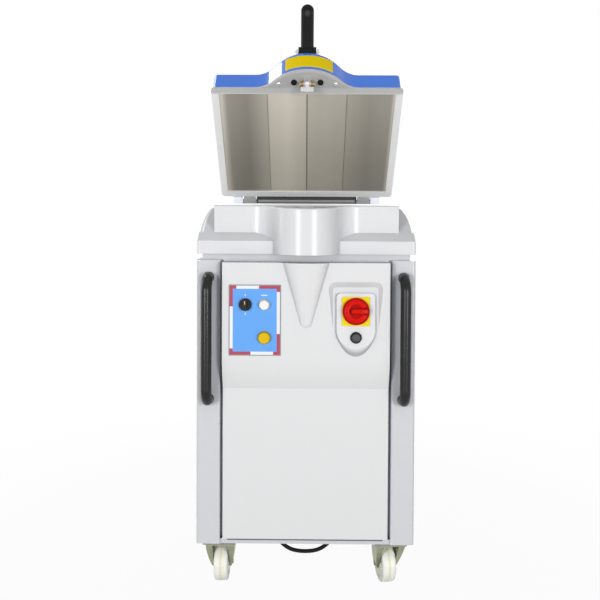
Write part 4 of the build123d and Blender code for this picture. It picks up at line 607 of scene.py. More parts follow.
# Painted reflection: tones across the plate, and a fade brighter towards its front edge.
def add_strip_reflections(tree, plain):
    parts = place_parts(tree)
    strips = tone_ramp(tree, parts["X"], (-STRIP_HALF, STRIP_HALF), reflection_stops())
    fade = fade_between(tree, parts["Z"], REFLECTION_FADE, REFLECTION_FADE_TONES)
    return shaded(tree, shaded(tree, plain, strips), fade)


press_steel = brushed(
    "press_steel", (1.0, 0.95, 0.84), (0.84, 0.77, 0.65), lines=(13.0, 0.8, 0.8), roughness=0.4, spread=0.1,
    bump=(0.03, 0.0001), metallic=0.3)
recolour(press_steel, add_strip_reflections)
print("tones across the press plate", len(reflection_stops()))

# %% [markdown]
# ## Other metals
# Brush lines run the way each part was made: across turned bars, along drawn sheet, and evenly on castings.
# The lid's frame is milled bright, and a painted shade darkens its nose, so its tone drops from the front
# strip on.

# %% Metals
NOSE_SHADE_SPAN = (1.333, 1.341)
NOSE_SHADE_TONE = 0.64


def milled(name):
    return brushed(name, (0.92, 0.92, 0.91), (0.84, 0.84, 0.83), lines=(90.0, 90.0, 90.0), roughness=0.45,
                   spread=0.15, metallic=0.15)


# Painted shade: the frame turns darker from the front strip on to its nose.
def shade_nose(tree, bright):
    tone = fade_between(tree, place_parts(tree)["Z"], NOSE_SHADE_SPAN, (1, NOSE_SHADE_TONE))
    return shaded(tree, bright, tone)


frame_metal = milled("frame_metal")
nose_shaded_frame = milled("nose_shaded_frame")
recolour(nose_shaded_frame, shade_nose)
tank_steel = brushed(
    "tank_steel", (0.62, 0.63, 0.64), (0.5, 0.51, 0.52), lines=(4.0, 260.0, 260.0), roughness=0.34)
bar_steel = brushed(
    "bar_steel", (0.72, 0.73, 0.73), (0.56, 0.57, 0.57), lines=(500.0, 40.0, 40.0), roughness=0.26)
arm_alloy = brushed(
    "arm_alloy", (0.7, 0.7, 0.67), (0.58, 0.58, 0.55), lines=(40.0, 120.0, 120.0), roughness=0.5,
    spread=0.15, metallic=0.15)
nose_alloy = brushed(
    "nose_alloy", (0.56, 0.56, 0.55), (0.46, 0.46, 0.45), lines=(60.0, 200.0, 200.0), roughness=0.42,
    spread=0.15, metallic=0.4)
brass_metal = brushed(
    "brass_metal", (0.55, 0.41, 0.2), (0.34, 0.24, 0.1), lines=(500.0, 80.0, 80.0), roughness=0.3)
zinc_plate = brushed(
    "zinc_plate", (0.4, 0.42, 0.29), (0.24, 0.26, 0.17), lines=(40.0, 40.0, 25.0), roughness=0.36, spread=0.2)
# Dark zinc for the axle nuts; on the castor plates its darkness is painted shade.
dark_zinc_and_shade = brushed(
    "dark_zinc_and_shade", (0.3, 0.3, 0.28), (0.2, 0.2, 0.19), lines=(30.0, 30.0, 200.0), roughness=0.4, metallic=0.7)
print("materials so far", len(bpy.data.materials))

# %% [markdown]
# ## Plastics and rubber
# Knobs, buttons, films and wheels differ in colour, in the grain of their skin and in how strongly
# they shine, so each is one call of the coated finish.

# %% Black parts
black_plastic = coated(
    "black_plastic", (0.009, 0.009, 0.0095), (0.022, 0.022, 0.023), cloud=(30.0, 0.3), fine=1600.0,
    roughness=0.26, bump=(0.15, 0.0002), specular=0.28)
lever_black = coated(
    "lever_black", (0.007, 0.007, 0.0072), (0.012, 0.012, 0.0125), cloud=(30.0, 0.3), fine=1600.0,
    roughness=0.3, bump=(0.12, 0.0002), specular=0.13)
boot_black = coated(
    "boot_black", (0.016, 0.016, 0.017), (0.032, 0.032, 0.033), cloud=(60.0, 0.4), fine=1500.0,
    roughness=0.34, specular=0.7)
black_rubber = coated(
    "black_rubber", (0.005, 0.005, 0.005), (0.014, 0.0135, 0.0125), cloud=(25.0, 0.4), fine=1500.0,
    roughness=0.6, bump=(0.35, 0.0003), specular=0.15)

# %% Coloured and white parts
plate_film = coated(
    "plate_film", (0.155, 0.43, 0.96), (0.13, 0.37, 0.86), cloud=(9.0, 0.35), fine=2200.0, roughness=0.34,
    specular=0.2)
plinth_plastic = coated(
    "plinth_plastic", (0.82, 0.82, 0.83), (0.74, 0.74, 0.75), cloud=(10.0, 0.2), fine=1800.0, roughness=0.4,
    specular=0.25)
yellow_gloss = coated(
    "yellow_gloss", (0.81, 0.54, 0.009), (0.7, 0.43, 0.007), cloud=(20.0, 0.25), fine=2000.0, roughness=0.34,
    specular=0.15)
red_gloss = coated(
    "red_gloss", (0.44, 0.004, 0.002), (0.34, 0.003, 0.002), cloud=(25.0, 0.3), fine=2000.0, roughness=0.34,
    specular=0.08)
switch_yellow = coated(
    "switch_yellow", (0.93, 0.74, 0.012), (0.84, 0.64, 0.01), cloud=(20.0, 0.25), fine=2000.0, roughness=0.36,
    specular=0.12)
# Painted light: a brighter copy of the red for the main switch's raised ring and bar cap.
lit_red = coated(
    "lit_red", (0.74, 0.008, 0.004), (0.62, 0.006, 0.003), cloud=(25.0, 0.3), fine=2000.0, roughness=0.3,
    specular=0.08)
white_gloss = coated(
    "white_gloss", (0.93, 0.93, 0.92), (0.86, 0.86, 0.85), cloud=(20.0, 0.2), fine=2000.0, roughness=0.25)
nylon = coated(
    "nylon", (0.96, 0.96, 0.9), (0.9, 0.88, 0.76), cloud=(16.0, 0.3), speck=(300.0, 0.08), fine=1300.0,
    roughness=0.42, bump=(0.25, 0.0003))
print("materials so far", len(bpy.data.materials))

# %% [markdown]
# ## Painted shade and light
# A painted shade greys the white plinth of the main switch towards its foot on the console. It leans with the
# console, so the height above its foot is measured along the way it faces. A lighter grey is painted into the
# dimple in the lever for the light it catches, so there the colour changes with the distance from the
# dimple's middle.

# %% Plinth foot and thumb rest
SWITCH_LEAN = math.radians(7)
SWITCH_OUT = Vector((0, -math.cos(SWITCH_LEAN), math.sin(SWITCH_LEAN)))
PLINTH_ORIGIN = Vector((0.1285, -0.31, 0.708))
PLINTH_SHADE_RISE = (-0.004, 0.0085)
PLINTH_SHADE_TONE = 0.6
THUMB_PLACE = (0, -0.135, 1.5645)
THUMB_LIGHT_SPAN = (0.013, 0.006)
THUMB_LIT_GREY = (0.05, 0.05, 0.052, 1)


# Painted shade: the plinth darkens towards its foot.
def shade_plinth_foot(tree, unshaded):
    height = measure(tree, "DOT_PRODUCT", SWITCH_OUT)
    ground = PLINTH_ORIGIN.dot(SWITCH_OUT)
    span = [ground + rise for rise in PLINTH_SHADE_RISE]
    return shaded(tree, unshaded, fade_between(tree, height, span, (PLINTH_SHADE_TONE, 1)))


# Painted light: a lighter grey in the middle of the lever's dimple.
def light_thumb_rest(tree, plain):
    lit_share = fade_between(tree, measure(tree, "DISTANCE", THUMB_PLACE), THUMB_LIGHT_SPAN, (0, 1))
    return mix_colours(tree, lit_share, plain, THUMB_LIT_GREY)


recolour(plinth_plastic, add_corner_shade)
recolour(plinth_plastic, shade_plinth_foot)
recolour(lever_black, light_thumb_rest)
print("soiled", plinth_plastic.name, "worn", lever_black.name)

# %% [markdown]
# ## The rings round the buttons
# All rings are one set of solids, but they aren't all alike: the white button's ring is bright
# metal, the yellow one's is golden, and the others are black. The material looks at where a ring
# sits and picks its finish.

# %% Ring finish
BRIGHT_RINGS_X = -0.1075
BRIGHT_RINGS_REACH = 0.03
GOLD_RING_BELOW = 0.73
RING_BRIGHT = (0.5, 0.5, 0.49, 1)
RING_GOLD = (0.42, 0.3, 0.05, 1)
RING_BLACK = (0.01, 0.01, 0.011, 1)
RING_METALLIC = 0.8


def make_ring_finish():
    material, tree, shader = start_material("ring_finish", {})
    parts = place_parts(tree)
    bright = math_node(tree, "COMPARE", parts["X"], BRIGHT_RINGS_X, BRIGHT_RINGS_REACH)
    golden = math_node(tree, "LESS_THAN", parts["Z"], GOLD_RING_BELOW)
    metal = mix_colours(tree, golden, RING_BRIGHT, RING_GOLD)
    tree.links.new(mix_colours(tree, bright, RING_BLACK, metal), shader.inputs["Base Color"])
    tree.links.new(math_node(tree, "MULTIPLY", bright, RING_METALLIC), shader.inputs["Metallic"])
    skin = place_group(tree, skin_group, {"Roughness": 0.25, "Spread": 0.1})
    tree.links.new(skin.outputs["Roughness"], shader.inputs["Roughness"])
    return material


ring_finish = make_ring_finish()
print("rings", ring_finish.name)

# %% [markdown]
# ## Dressing the solids
# Every solid of the frame names a slot, which says what it is made of. The slot picks the
# material here, and some solids get one of their own that suits how they were made or used.

# %% Give each solid its material
SLOT_MATERIAL = {
    "cabinet_white": cabinet_paint, "cover_white": cover_gloss, "lid_blue": lid_blue,
    "frame_grey": frame_metal, "steel": bar_steel, "black_plastic": black_plastic,
    "plate_blue": plate_film, "plinth_grey": plinth_plastic, "yellow": yellow_gloss, "red": red_gloss,
    "button_white": white_gloss, "nylon": nylon, "zinc": zinc_plate, "brass": brass_metal,
    "rubber": black_rubber, "spring_box_brown": spring_box_paint, "machinery_grey": machinery_paint,
}
OWN_MATERIAL = {
    "left_side_panel": shaded_side_paint, "right_side_panel": shaded_side_paint, "base_pan": shaded_side_paint,
    "press_plate": press_steel, "dough_tank": tank_steel, "knife_grid": tank_steel,
    "lid_frame": nose_shaded_frame, "nose_plate": nose_alloy, "latch_hook": frame_metal,
    "hinge_arms": arm_alloy, "hinge_blocks": frame_metal, "lid_handle": lever_black,
    "button_bezels": ring_finish, "black_button": boot_black, "switch_plate": switch_yellow,
    # The castor plates get dark zinc as painted shade.
    "castor_plates": dark_zinc_and_shade,
}


def dress_solids():
    for part in frame["record"]["subparts"]:
        name = part["node"]
        material = OWN_MATERIAL.get(name, SLOT_MATERIAL[part["material_slot"]])
        mesh = nodes[name].data
        mesh.materials.clear()
        mesh.materials.append(material)


dress_solids()
print("dressed", len(nodes), "solids")

# %% [markdown]
# ## The oil hose
# A short rubber hose hangs in a loop under the base, held by a fitting at each end. A NURBS curve
# with the route's points as its control points gives it the soft sag of rubber, and a round bevel
# gives it thickness. It takes the place of the CAD hose, which stays behind for collisions.

# %% Oil hose
HOSE_Y = -0.119
HOSE_ROUTE = [(0.083, 0.129), (0.083, 0.096), (0.065, 0.065), (0.030, 0.045)]
HOSE_DIAMETER = 0.011
HOSE_ROUND_STEPS = 8
HOSE_LENGTH_STEPS = 16
HOSE_ORDER = 3


def add_hose():
    mirrored = [(-x, z) for x, z in reversed(HOSE_ROUTE)]
    points = [(x, HOSE_Y, z) for x, z in HOSE_ROUTE + mirrored]
    curve = bpy.data.curves.new("oil_hose_loop", "CURVE")
    curve.dimensions = "3D"
    curve.bevel_depth = HOSE_DIAMETER / 2
    curve.bevel_resolution = HOSE_ROUND_STEPS
    curve.resolution_u = HOSE_LENGTH_STEPS
    curve.use_fill_caps = True
    spline = curve.splines.new("NURBS")
    spline.points.add(len(points) - 1)
    for control, point in zip(spline.points, points):
        control.co = (*point, 1)
    spline.order_u = HOSE_ORDER
    spline.use_endpoint_u = True
    curve.materials.append(black_rubber)
    hose = bpy.data.objects.new("oil_hose_loop", curve)
    bpy.context.scene.collection.objects.link(hose)
    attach(hose, "cabinet")
    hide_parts("oil_hose")
    return hose


print("hose", add_hose().name)

# %% [markdown]
# ## Tools for the small pieces
# Screws, rings and nuts are turned: a half profile is spun about an axis, as on a lathe. Films and
# bars start from a block or a few corners. Every shape is made upright at the origin and then put
# in place, so one helper serves all sides of the machine. Sizes are in millimetres.

# %% Turned and spun shapes
MM = 0.001
TURN_STEPS = 40
UP = (0, 0, 1)
DOWN = (0, 0, -1)
BACKWARDS = (0, 1, 0)


def place_shape(bm, known, place):
    """Move the vertices that were not known before."""
    fresh = [vertex for vertex in bm.verts if vertex not in known]
    bmesh.ops.transform(bm, matrix=place, verts=fresh)


def turned(bm, profile, place, steps=TURN_STEPS):
    """Spin a profile of (radius, height) points about the upright axis."""
    known = set(bm.verts)
    points = [bm.verts.new((radius * MM, 0, height * MM)) for radius, height in profile]
    lines = [bm.edges.new(pair) for pair in zip(points, points[1:])]
    bmesh.ops.spin(bm, geom=points + lines, cent=(0, 0, 0), axis=UP, angle=math.tau, steps=steps,
                   use_merge=True)
    place_shape(bm, known, place)


def spun_bar(bm, section, start, sweep, steps):
    """Spin a closed section of (radius, height) points through part of a turn and close its ends."""
    points = [bm.verts.new((radius * MM, 0, height * MM)) for radius, height in section]
    lines = [bm.edges.new((point, points[index - 1])) for index, point in enumerate(points)]
    bmesh.ops.rotate(bm, cent=(0, 0, 0), matrix=Matrix.Rotation(start, 3, "Z"), verts=bm.verts)
    bmesh.ops.spin(bm, geom=points + lines, cent=(0, 0, 0), axis=UP, angle=sweep, steps=steps)
    bmesh.ops.holes_fill(bm, edges=bm.edges, sides=len(section))


# %% Blocks and films
def block(bm, size, edge_round, place):
    """A block with rounded edges."""
    known = set(bm.verts)
    made = bmesh.ops.create_cube(bm, size=MM)
    bmesh.ops.scale(bm, vec=size, verts=made["verts"])
    edges = list({edge for vertex in made["verts"] for edge in vertex.link_edges})
    bmesh.ops.bevel(bm, geom=edges, offset=edge_round * MM, affect="EDGES", segments=2, profile=0.5,
                    material=-1)
    place_shape(bm, known, place)


def rectangle(wide, high):
    """The corners of a rectangle from half its width and half its height."""
    return [(-wide, -high), (wide, -high), (wide, high), (-wide, high)]


def flat_face(bm, corners):
    return bm.faces.new([bm.verts.new((x * MM, y * MM, 0)) for x, y in corners])


def raise_faces(bm, faces, thick):
    raised = bmesh.ops.extrude_face_region(bm, geom=faces)
    lifted = [item for item in raised["geom"] if isinstance(item, bmesh.types.BMVert)]
    bmesh.ops.translate(bm, vec=(0, 0, thick * MM), verts=lifted)


def film(bm, corners, thick, place):
    """A flat film from its corners, raised by its thickness."""
    known = set(bm.verts)
    raise_faces(bm, [flat_face(bm, corners)], thick)
    place_shape(bm, known, place)


def frame_film(bm, half, width, thick, place):
    """A film with an open middle. The inset needs the face's normal, which a new face doesn't have yet."""
    known = set(bm.verts)
    middle = flat_face(bm, rectangle(*half))
    middle.normal_update()
    inset = bmesh.ops.inset_region(
        bm, faces=[middle], thickness=width * MM, use_boundary=True, use_even_offset=True)
    bmesh.ops.delete(bm, geom=[middle], context="FACES_ONLY")
    raise_faces(bm, inset["faces"], thick)
    place_shape(bm, known, place)


# %% Places and pieces
SHARP_ANGLE = math.radians(35)
MERGE_GAP = 0.001


def towards(direction, *place):
    """A place whose upright axis points along a direction."""
    turn = Vector(UP).rotation_difference(Vector(direction)).to_matrix().to_4x4()
    return Matrix.Translation(Vector(place) * MM) @ turn


def box_of(node):
    """Lowest and highest corner of a node's box."""
    return [Vector(corner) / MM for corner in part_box(node)]


def centre_of(node):
    low, high = box_of(node)
    return (low + high) / 2


def make_piece(name, bm, material, body):
    """Close the mesh, point its faces outwards and let the piece ride a body."""
    bmesh.ops.remove_doubles(bm, verts=bm.verts, dist=MERGE_GAP * MM)
    bmesh.ops.recalc_face_normals(bm, faces=bm.faces)
    mesh = bpy.data.meshes.new(name)
    bm.to_mesh(mesh)
    bm.free()
    mesh.shade_smooth()
    mesh.set_sharp_from_angle(angle=SHARP_ANGLE)
    mesh.materials.append(material)
    piece = bpy.data.objects.new(name, mesh)
    bpy.context.scene.collection.objects.link(piece)
    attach(piece, body)
    print(name, len(mesh.polygons), "faces on", body)


def add_block(name, size, edge_round, place, material, body):
    """A piece that is one block with rounded edges."""
    bm = bmesh.new()
    block(bm, size, edge_round, place)
    make_piece(name, bm, material, body)


# %% [markdown]
# ## Screws
# A button-head screw is a low dome with a socket in the middle. Its profile is written once, in
# shares of its radius and height, from the floor of the socket out to the rim. All screws that
# hold one part are one piece, because nobody moves them on their own.

# %% Screws
SCREW_SHARES = [
    (0, 0.4), (0.36, 0.4), (0.4, 0.95), (0.6, 1), (0.82, 0.82), (1, 0.35), (1, 0), (0, 0),
]
SCREW_STEPS = 24
REAR_SCREW = (6, 2.6)
REAR_SCREW_INSET = 14
HINGE_SCREW = (4.5, 2.8)
HINGE_SCREW_INSET = (14.5, 7)


def screws(places, size):
    """A mesh of screws of one size: radius and height."""
    radius, height = size
    profile = [(radius * across, height * up) for across, up in SCREW_SHARES]
    bm = bmesh.new()
    for place in places:
        turned(bm, profile, place, steps=SCREW_STEPS)
    return bm


def add_rear_screws():
    low, high = box_of("rear_panel")
    inset = REAR_SCREW_INSET
    heights = (low.z + inset, (low.z + high.z) / 2, high.z - inset)
    places = [towards(BACKWARDS, x, high.y, z) for x in (low.x + inset, high.x - inset) for z in heights]
    places += [towards(BACKWARDS, 0, high.y, z) for z in (heights[0], heights[-1])]
    make_piece("rear_panel_screws", screws(places, REAR_SCREW), bar_steel, "cabinet")


def add_hinge_screws():
    low, high = box_of("hinge_blocks")
    side, depth = HINGE_SCREW_INSET
    places = [
        towards(UP, x, y, high.z)
        for x in (low.x + side, high.x - side)
        for y in (low.y + depth, high.y - depth)
    ]
    make_piece("hinge_block_screws", screws(places, HINGE_SCREW), bar_steel, "cabinet")


add_rear_screws()
add_hinge_screws()

# %% [markdown]
# ## On the lid
# Pieces of the lid are made as if it were shut, where all is level, and are then turned about the
# hinge with it. The round plate on the nose is a plain yellow film: its section is spun through
# part of a turn about the centre of the nose.

# %% Opening a piece with the lid
LID_OPEN = math.radians(45)


def make_lid_piece(name, bm, material):
    """Turn a mesh about the hinge to where the open lid is, and let it ride the lid."""
    hinge = Matrix.Translation(centre_of("hinge_bar") * MM)
    opened = hinge @ Matrix.Rotation(-LID_OPEN, 4, "X") @ hinge.inverted()
    bmesh.ops.transform(bm, matrix=opened, verts=bm.verts)
    make_piece(name, bm, material, "lid")


# %% Nose film
NOSE_CENTRE_Y = -216
NOSE_RADIUS = 130
NOSE_FILM = (1050, 1103)
NOSE_FILM_HALF = math.radians(30)
NOSE_FILM_TURN = math.radians(2.5)
NOSE_FILM_THICK = 0.9
NOSE_FILM_STEPS = 28

label_yellow = coated(
    "label_yellow", (1.0, 0.74, 0.001), (0.96, 0.68, 0.001), cloud=(14.0, 0.25), fine=2400.0, roughness=0.36,
    specular=0.06)


def add_nose_film():
    low, high = NOSE_FILM
    inner = NOSE_RADIUS
    outer = NOSE_RADIUS + NOSE_FILM_THICK
    edge = NOSE_FILM_THICK / 2
    section = [
        (inner, low), (outer - edge, low), (outer, low + edge), (outer, high - edge), (outer - edge, high),
        (inner, high),
    ]
    bm = bmesh.new()
    start = NOSE_FILM_TURN - NOSE_FILM_HALF - QUARTER_TURN
    spun_bar(bm, section, start, 2 * NOSE_FILM_HALF, NOSE_FILM_STEPS)
    bmesh.ops.translate(bm, vec=(0, NOSE_CENTRE_Y * MM, 0), verts=bm.verts)
    make_lid_piece("nose_film", bm, label_yellow)


add_nose_film()

# %% [markdown]
# ## Fasteners of the lid
# Two screws hold the plate under the nose, two grooved brass collars sit on the latch pin below
# it, and two bolts hold the lever. Collars and bolts come in pairs, left and right, so one helper
# turns both from a profile.

# %% Nose screws, collars and lever bolts
NOSE_SCREW = (6, 2.4)
NOSE_SCREW_X = 78
NOSE_SCREW_PLACE = (-302, 1029)
PAIR_STEPS = 28
COLLAR_PLACE = (9.9, -310, 1019)
COLLAR_PROFILE = [
    (0, 0), (6.6, 0), (7.0, 0.4), (7.0, 4.2), (5.4, 4.8), (5.4, 5.8), (7.0, 6.4), (7.0, 10.2), (6.2, 11),
    (0, 11),
]
LEVER_BOLT_PLACE = (32, -326, 1141.5)
LEVER_BOLT_PROFILE = [(0, 3.4), (6.6, 3.4), (7.8, 2.6), (8.4, 0.8), (8.4, 0), (0, 0)]


def lid_pair(profile, place):
    """A mesh of one turned shape at each side of the lid, facing outwards."""
    x, y, z = place
    bm = bmesh.new()
    for side in (-1, 1):
        turned(bm, profile, towards((side, 0, 0), side * x, y, z), steps=PAIR_STEPS)
    return bm


nose_screw_places = [towards(DOWN, x, *NOSE_SCREW_PLACE) for x in (-NOSE_SCREW_X, NOSE_SCREW_X)]
make_lid_piece("nose_plate_screws", screws(nose_screw_places, NOSE_SCREW), bar_steel)
make_lid_piece("latch_pin_collars", lid_pair(COLLAR_PROFILE, COLLAR_PLACE), brass_metal)
make_lid_piece("lever_bolts", lid_pair(LEVER_BOLT_PROFILE, LEVER_BOLT_PLACE), bar_steel)

# %% [markdown]
# ## The grooves of the press plate
# A dark film on the floor of each of the three grooves, which the knives meet, is painted shade. A film gives
# it a clean edge, which a pattern in the plate's material would blur.

# %% Groove lines
GROOVE_FLOOR = 1034.5
GROOVE_WIDTH = 3.0
GROOVE_DEEP = 0.25
GROOVE_PLACES = (-110, 0, 110)
GROOVE_SPAN = (-269, 99)

# Painted shade: a dark film in each groove.
groove_shade = coated(
    "groove_shade", (0.17, 0.155, 0.13), (0.1, 0.09, 0.075), cloud=(40.0, 0.5), fine=1500.0, roughness=0.6)


def add_groove_shade():
    front, rear = GROOVE_SPAN
    corners = rectangle(GROOVE_WIDTH / 2, (rear - front) / 2)
    bm = bmesh.new()
    for x in GROOVE_PLACES:
        place = Matrix.Translation(Vector((x, (front + rear) / 2, GROOVE_FLOOR)) * MM)
        film(bm, corners, -GROOVE_DEEP, place)
    make_lid_piece("groove_shade_lines", bm, groove_shade)


add_groove_shade()

# %% [markdown]
# ## The control plate
# A grey gasket round the blue plate makes a dark line there, which is painted shade for the gap round the
# plate. The plate carries a white border with red corners, two white marks for the selector and a bar over
# the white button. Each print is a thin film with real thickness, so it keeps its edge in every light. Border
# and gasket are a rectangle whose inset gives the width and whose middle is cut out.

# %% Gasket and border
BORDER = 8
PRINT_THICK = 0.25
EDGE_GAP = 0.2
PLATE_THICK = 2
GASKET_WIDTH = 2.2
GASKET_THICK = 1.2

# Painted shade: the grey of the gasket line round the plate.
gasket_shade_grey = coated(
    "gasket_shade_grey", (0.3, 0.3, 0.305), (0.22, 0.22, 0.225), cloud=(30.0, 0.4), fine=1500.0, roughness=0.6)
film_white = coated(
    "film_white", (0.9, 0.9, 0.9), (0.82, 0.82, 0.83), cloud=(18.0, 0.2), fine=2200.0, roughness=0.35)


def plate_place(lift):
    """The middle of the control plate's face, lifted off it, with the plate's up along local y."""
    front = box_of("control_plate")[0].y
    middle = centre_of("control_plate")
    face = Matrix.Translation(Vector((middle.x, front - lift, middle.z)) * MM)
    return face @ Matrix.Rotation(QUARTER_TURN, 4, "X")


def plate_half():
    low, high = box_of("control_plate")
    return (high.x - low.x) / 2 - EDGE_GAP, (high.z - low.z) / 2 - EDGE_GAP


def add_frame(name, half, width, thick, place, material):
    bm = bmesh.new()
    frame_film(bm, half, width, thick, place)
    make_piece(name, bm, material, "cabinet")


gasket_half = [side + EDGE_GAP + GASKET_WIDTH for side in plate_half()]
add_frame("plate_gasket_shade", gasket_half, GASKET_WIDTH, GASKET_THICK, plate_place(-PLATE_THICK), gasket_shade_grey)
add_frame("plate_border", plate_half(), BORDER, PRINT_THICK, plate_place(0), film_white)

# %% Red corners and white marks
LONG_ARM = (54, 16)
SHORT_ARM = (17, 54)
MARK_REACH = 24
SELECTOR_MARK_HALF = (1.1, 2.6)
BUTTON_MARK_HALF = (8, 1.2)

film_red = coated(
    "film_red", (0.5, 0.075, 0.11), (0.42, 0.055, 0.085), cloud=(18.0, 0.3), fine=2200.0, roughness=0.35,
    specular=0.3)


def add_red_corners():
    """Red corners with one long and one short arm: opposite corners are the same, turned half round."""
    bm = bmesh.new()
    wide, high = plate_half()
    for mirror, (across, upright) in ((1, LONG_ARM), (-1, SHORT_ARM)):
        outline = [
            (wide, high), (wide - across, high), (wide - across, high - BORDER),
            (wide - BORDER, high - BORDER), (wide - BORDER, high - upright), (wide, high - upright),
        ]
        for turn in (1, -1):
            corners = [(turn * mirror * x, turn * y) for x, y in outline]
            film(bm, corners, PRINT_THICK, plate_place(PRINT_THICK))
    make_piece("plate_corners", bm, film_red, "cabinet")


def add_plate_marks():
    """A mark above and below the selector, and a bar above the white button."""
    bm = bmesh.new()
    middle = centre_of("control_plate")
    marks = [
        ("selector_knob", MARK_REACH, SELECTOR_MARK_HALF),
        ("selector_knob", -MARK_REACH, SELECTOR_MARK_HALF),
        ("white_button", MARK_REACH, BUTTON_MARK_HALF),
    ]
    for control, reach, half in marks:
        away = centre_of(control) - middle
        spot = Matrix.Translation(Vector((away.x, away.z + reach, 0)) * MM)
        film(bm, rectangle(*half), PRINT_THICK, plate_place(0) @ spot)
    make_piece("plate_marks", bm, film_white, "cabinet")


add_red_corners()
add_plate_marks()

# %% [markdown]
# ## Details of the controls
# A knob needs a mark to be read: the selector has a brass one on its grip. The red main switch has a raised
# ring, open where its bar reaches the rim, and a cap on the bar; ring and cap are a brighter red than the
# knob, a painted light on the raised parts. Both ride the knob they belong to. A black rubber ring seals the
# black button.

# %% Selector mark
SELECTOR_MARK_SIZE = (2, 0.8, 9)
SELECTOR_MARK_RISE = 6
SELECTOR_MARK_ROUND = 0.3


def selector_mark_place():
    middle = centre_of("selector_knob")
    front = box_of("selector_knob")[0].y
    return Matrix.Translation(Vector((middle.x, front, middle.z + SELECTOR_MARK_RISE)) * MM)


add_block("selector_mark", SELECTOR_MARK_SIZE, SELECTOR_MARK_ROUND, selector_mark_place(), brass_metal,
          "selector")

# %% Main switch and black button
SWITCH_X = 128.5
BAR_TOP = (-337.446, 757.715)
BAR_TOP_HEIGHT = 21.3
BAR_MIDDLE = 9
BAR_CAP_SIZE = (39, 10, 1.6)
BAR_CAP_ROUND = 0.7
KNOB_FACE = 9
GRIP_RING = (17.5, 30)
GRIP_RING_RISE = 2.2
GRIP_RING_EDGE = 0.8 * GRIP_RING_RISE
GRIP_RING_SHOULDER = 0.7 * GRIP_RING_RISE
GRIP_RING_STEPS = 60
GRIP_OPENING = math.radians(24)
BUTTON_FOOT = (-321.492, 688.253)
BUTTON_RING_PROFILE = [(13.2, 0), (13.2, 2.2), (13.6, 2.6), (14.4, 2.2), (14.9, 1.2), (15.1, 0), (13.2, 0)]


def switch_place(x, y, z):
    """A place on the leaning switch: local x across, local y up the face, local z outwards."""
    return Matrix.Translation(Vector((x, y, z)) * MM) @ Matrix.Rotation(QUARTER_TURN - SWITCH_LEAN, 4, "X")


def add_grip_ring():
    inner, outer = GRIP_RING
    edge = GRIP_RING_EDGE
    shoulder = GRIP_RING_SHOULDER
    section = [
        (inner, 0), (inner + edge / 3, shoulder), (inner + edge, GRIP_RING_RISE),
        (outer - edge, GRIP_RING_RISE), (outer - edge / 3, shoulder), (outer, 0),
    ]
    bm = bmesh.new()
    spun_bar(bm, section, GRIP_OPENING, math.tau - 2 * GRIP_OPENING, GRIP_RING_STEPS)
    sink = Matrix.Translation((0, 0, (KNOB_FACE - BAR_TOP_HEIGHT) * MM))
    bmesh.ops.transform(bm, matrix=switch_place(SWITCH_X, *BAR_TOP) @ sink, verts=bm.verts)
    make_piece("switch_grip_ring", bm, lit_red, "main_switch")


def add_button_ring():
    bm = bmesh.new()
    turned(bm, BUTTON_RING_PROFILE, switch_place(SWITCH_X, *BUTTON_FOOT))
    make_piece("black_button_ring", bm, black_rubber, "cabinet")


add_grip_ring()
add_block("switch_bar_cap", BAR_CAP_SIZE, BAR_CAP_ROUND, switch_place(SWITCH_X + BAR_MIDDLE, *BAR_TOP),
          lit_red, "main_switch")
add_button_ring()

# %% [markdown]
# ## The seal under the front panel
# A dark rubber strip closes the gap between the front panel's lower edge and the base; its dark grey is
# painted shade for the shadow line under the panel. It is a long block with soft edges, because nothing but
# its front shows.

# %% Door seal
SEAL_SIZE = (410, 2.4, 6)
SEAL_PLACE = (0, -278.3, 147)
SEAL_ROUND = 0.6

# Painted shade: the dark grey of the seal.
seal_shade_grey = coated(
    "seal_shade_grey", (0.13, 0.13, 0.132), (0.09, 0.09, 0.092), cloud=(30.0, 0.4), fine=1500.0, roughness=0.6)
add_block("door_seal_shade", SEAL_SIZE, SEAL_ROUND, Matrix.Translation(Vector(SEAL_PLACE) * MM), seal_shade_grey,
          "cabinet")

# %% [markdown]
# ## Castor details
# Each axle ends in a nut at both sides of the fork, each castor plate is held by four low screws,
# and a moulding seam runs round each tread. A nut is turned in six steps, which makes it a
# hexagon. The nuts turn with the fork and the seam with the wheel.

# %% Nuts and seams
CASTOR_TURN = {"front_left": 0, "front_right": 10, "rear_left": 0, "rear_right": 0}
FORK_FOOT = 24.5
HEX = 6
NUT_PROFILE = [(0, 6.4), (7.4, 6.4), (9, 5.4), (9, 0), (0, 0)]
WHEEL_RADIUS = 50
SEAM_RISE = 0.1
SEAM_SINK = 0.5
SEAM_TOP_HALF = 2.8
SEAM_FOOT_HALF = 3.4
SEAM_STEPS = 96

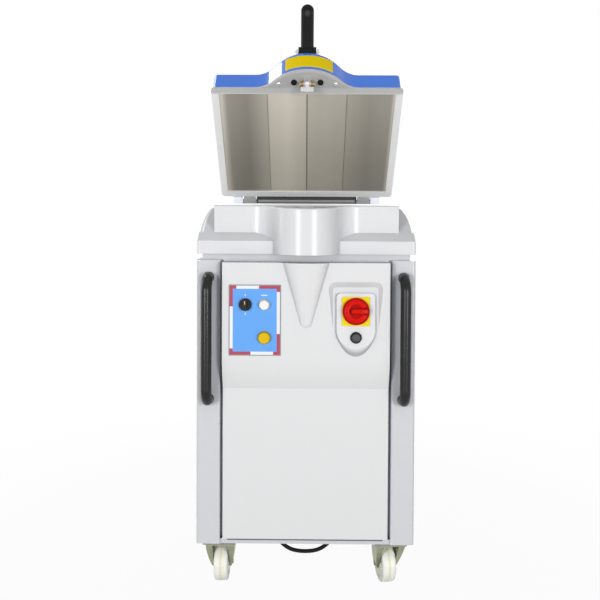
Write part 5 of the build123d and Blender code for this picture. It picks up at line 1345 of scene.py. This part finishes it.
seam_nylon = coated(
    "seam_nylon", (0.86, 0.85, 0.62), (0.78, 0.76, 0.5), cloud=(60.0, 0.4), fine=1300.0, roughness=0.5)


def axle_place(name):
    """Where the axle crosses the castor: local x runs along the axle."""
    turn = Matrix.Rotation(math.radians(CASTOR_TURN[name]), 4, "Z")
    return Matrix.Translation(centre_of(f"{name}_wheel") * MM) @ turn


def add_axle_nuts(name):
    bm = bmesh.new()
    for side in (-1, 1):
        turned(bm, NUT_PROFILE, axle_place(name) @ towards((side, 0, 0), side * FORK_FOOT, 0, 0), steps=HEX)
    make_piece(f"{name}_axle_nuts", bm, dark_zinc_and_shade, f"{name}_swivel")


def add_tread_seam(name):
    top = WHEEL_RADIUS + SEAM_RISE
    foot = WHEEL_RADIUS - SEAM_SINK
    profile = [
        (foot, -SEAM_FOOT_HALF), (top, -SEAM_TOP_HALF), (top, SEAM_TOP_HALF), (foot, SEAM_FOOT_HALF),
        (foot, -SEAM_FOOT_HALF),
    ]
    bm = bmesh.new()
    turned(bm, profile, axle_place(name) @ towards((1, 0, 0), 0, 0, 0), steps=SEAM_STEPS)
    make_piece(f"{name}_tread_seam", bm, seam_nylon, f"{name}_roller")


for castor in CASTOR_TURN:
    add_axle_nuts(castor)
    add_tread_seam(castor)

# %% Castor plate screws
CASTOR_SCREW = (5.5, 1.7)
CASTOR_SCREW_EDGE = 8.5
CASTOR_PLATE_WIDTH = 85
CASTOR_PLATE_LENGTH = 100


def screw_lines(low, high, plate):
    """Where the lines of screws cross one axis: two on the plate at each end."""
    edge = CASTOR_SCREW_EDGE
    return low + edge, low + plate - edge, high - plate + edge, high - edge


def add_castor_screws():
    low, high = box_of("castor_plates")
    places = [
        towards(DOWN, x, y, low.z)
        for x in screw_lines(low.x, high.x, CASTOR_PLATE_WIDTH)
        for y in screw_lines(low.y, high.y, CASTOR_PLATE_LENGTH)
    ]
    make_piece("castor_plate_screws", screws(places, CASTOR_SCREW), bar_steel, "cabinet")


add_castor_screws()
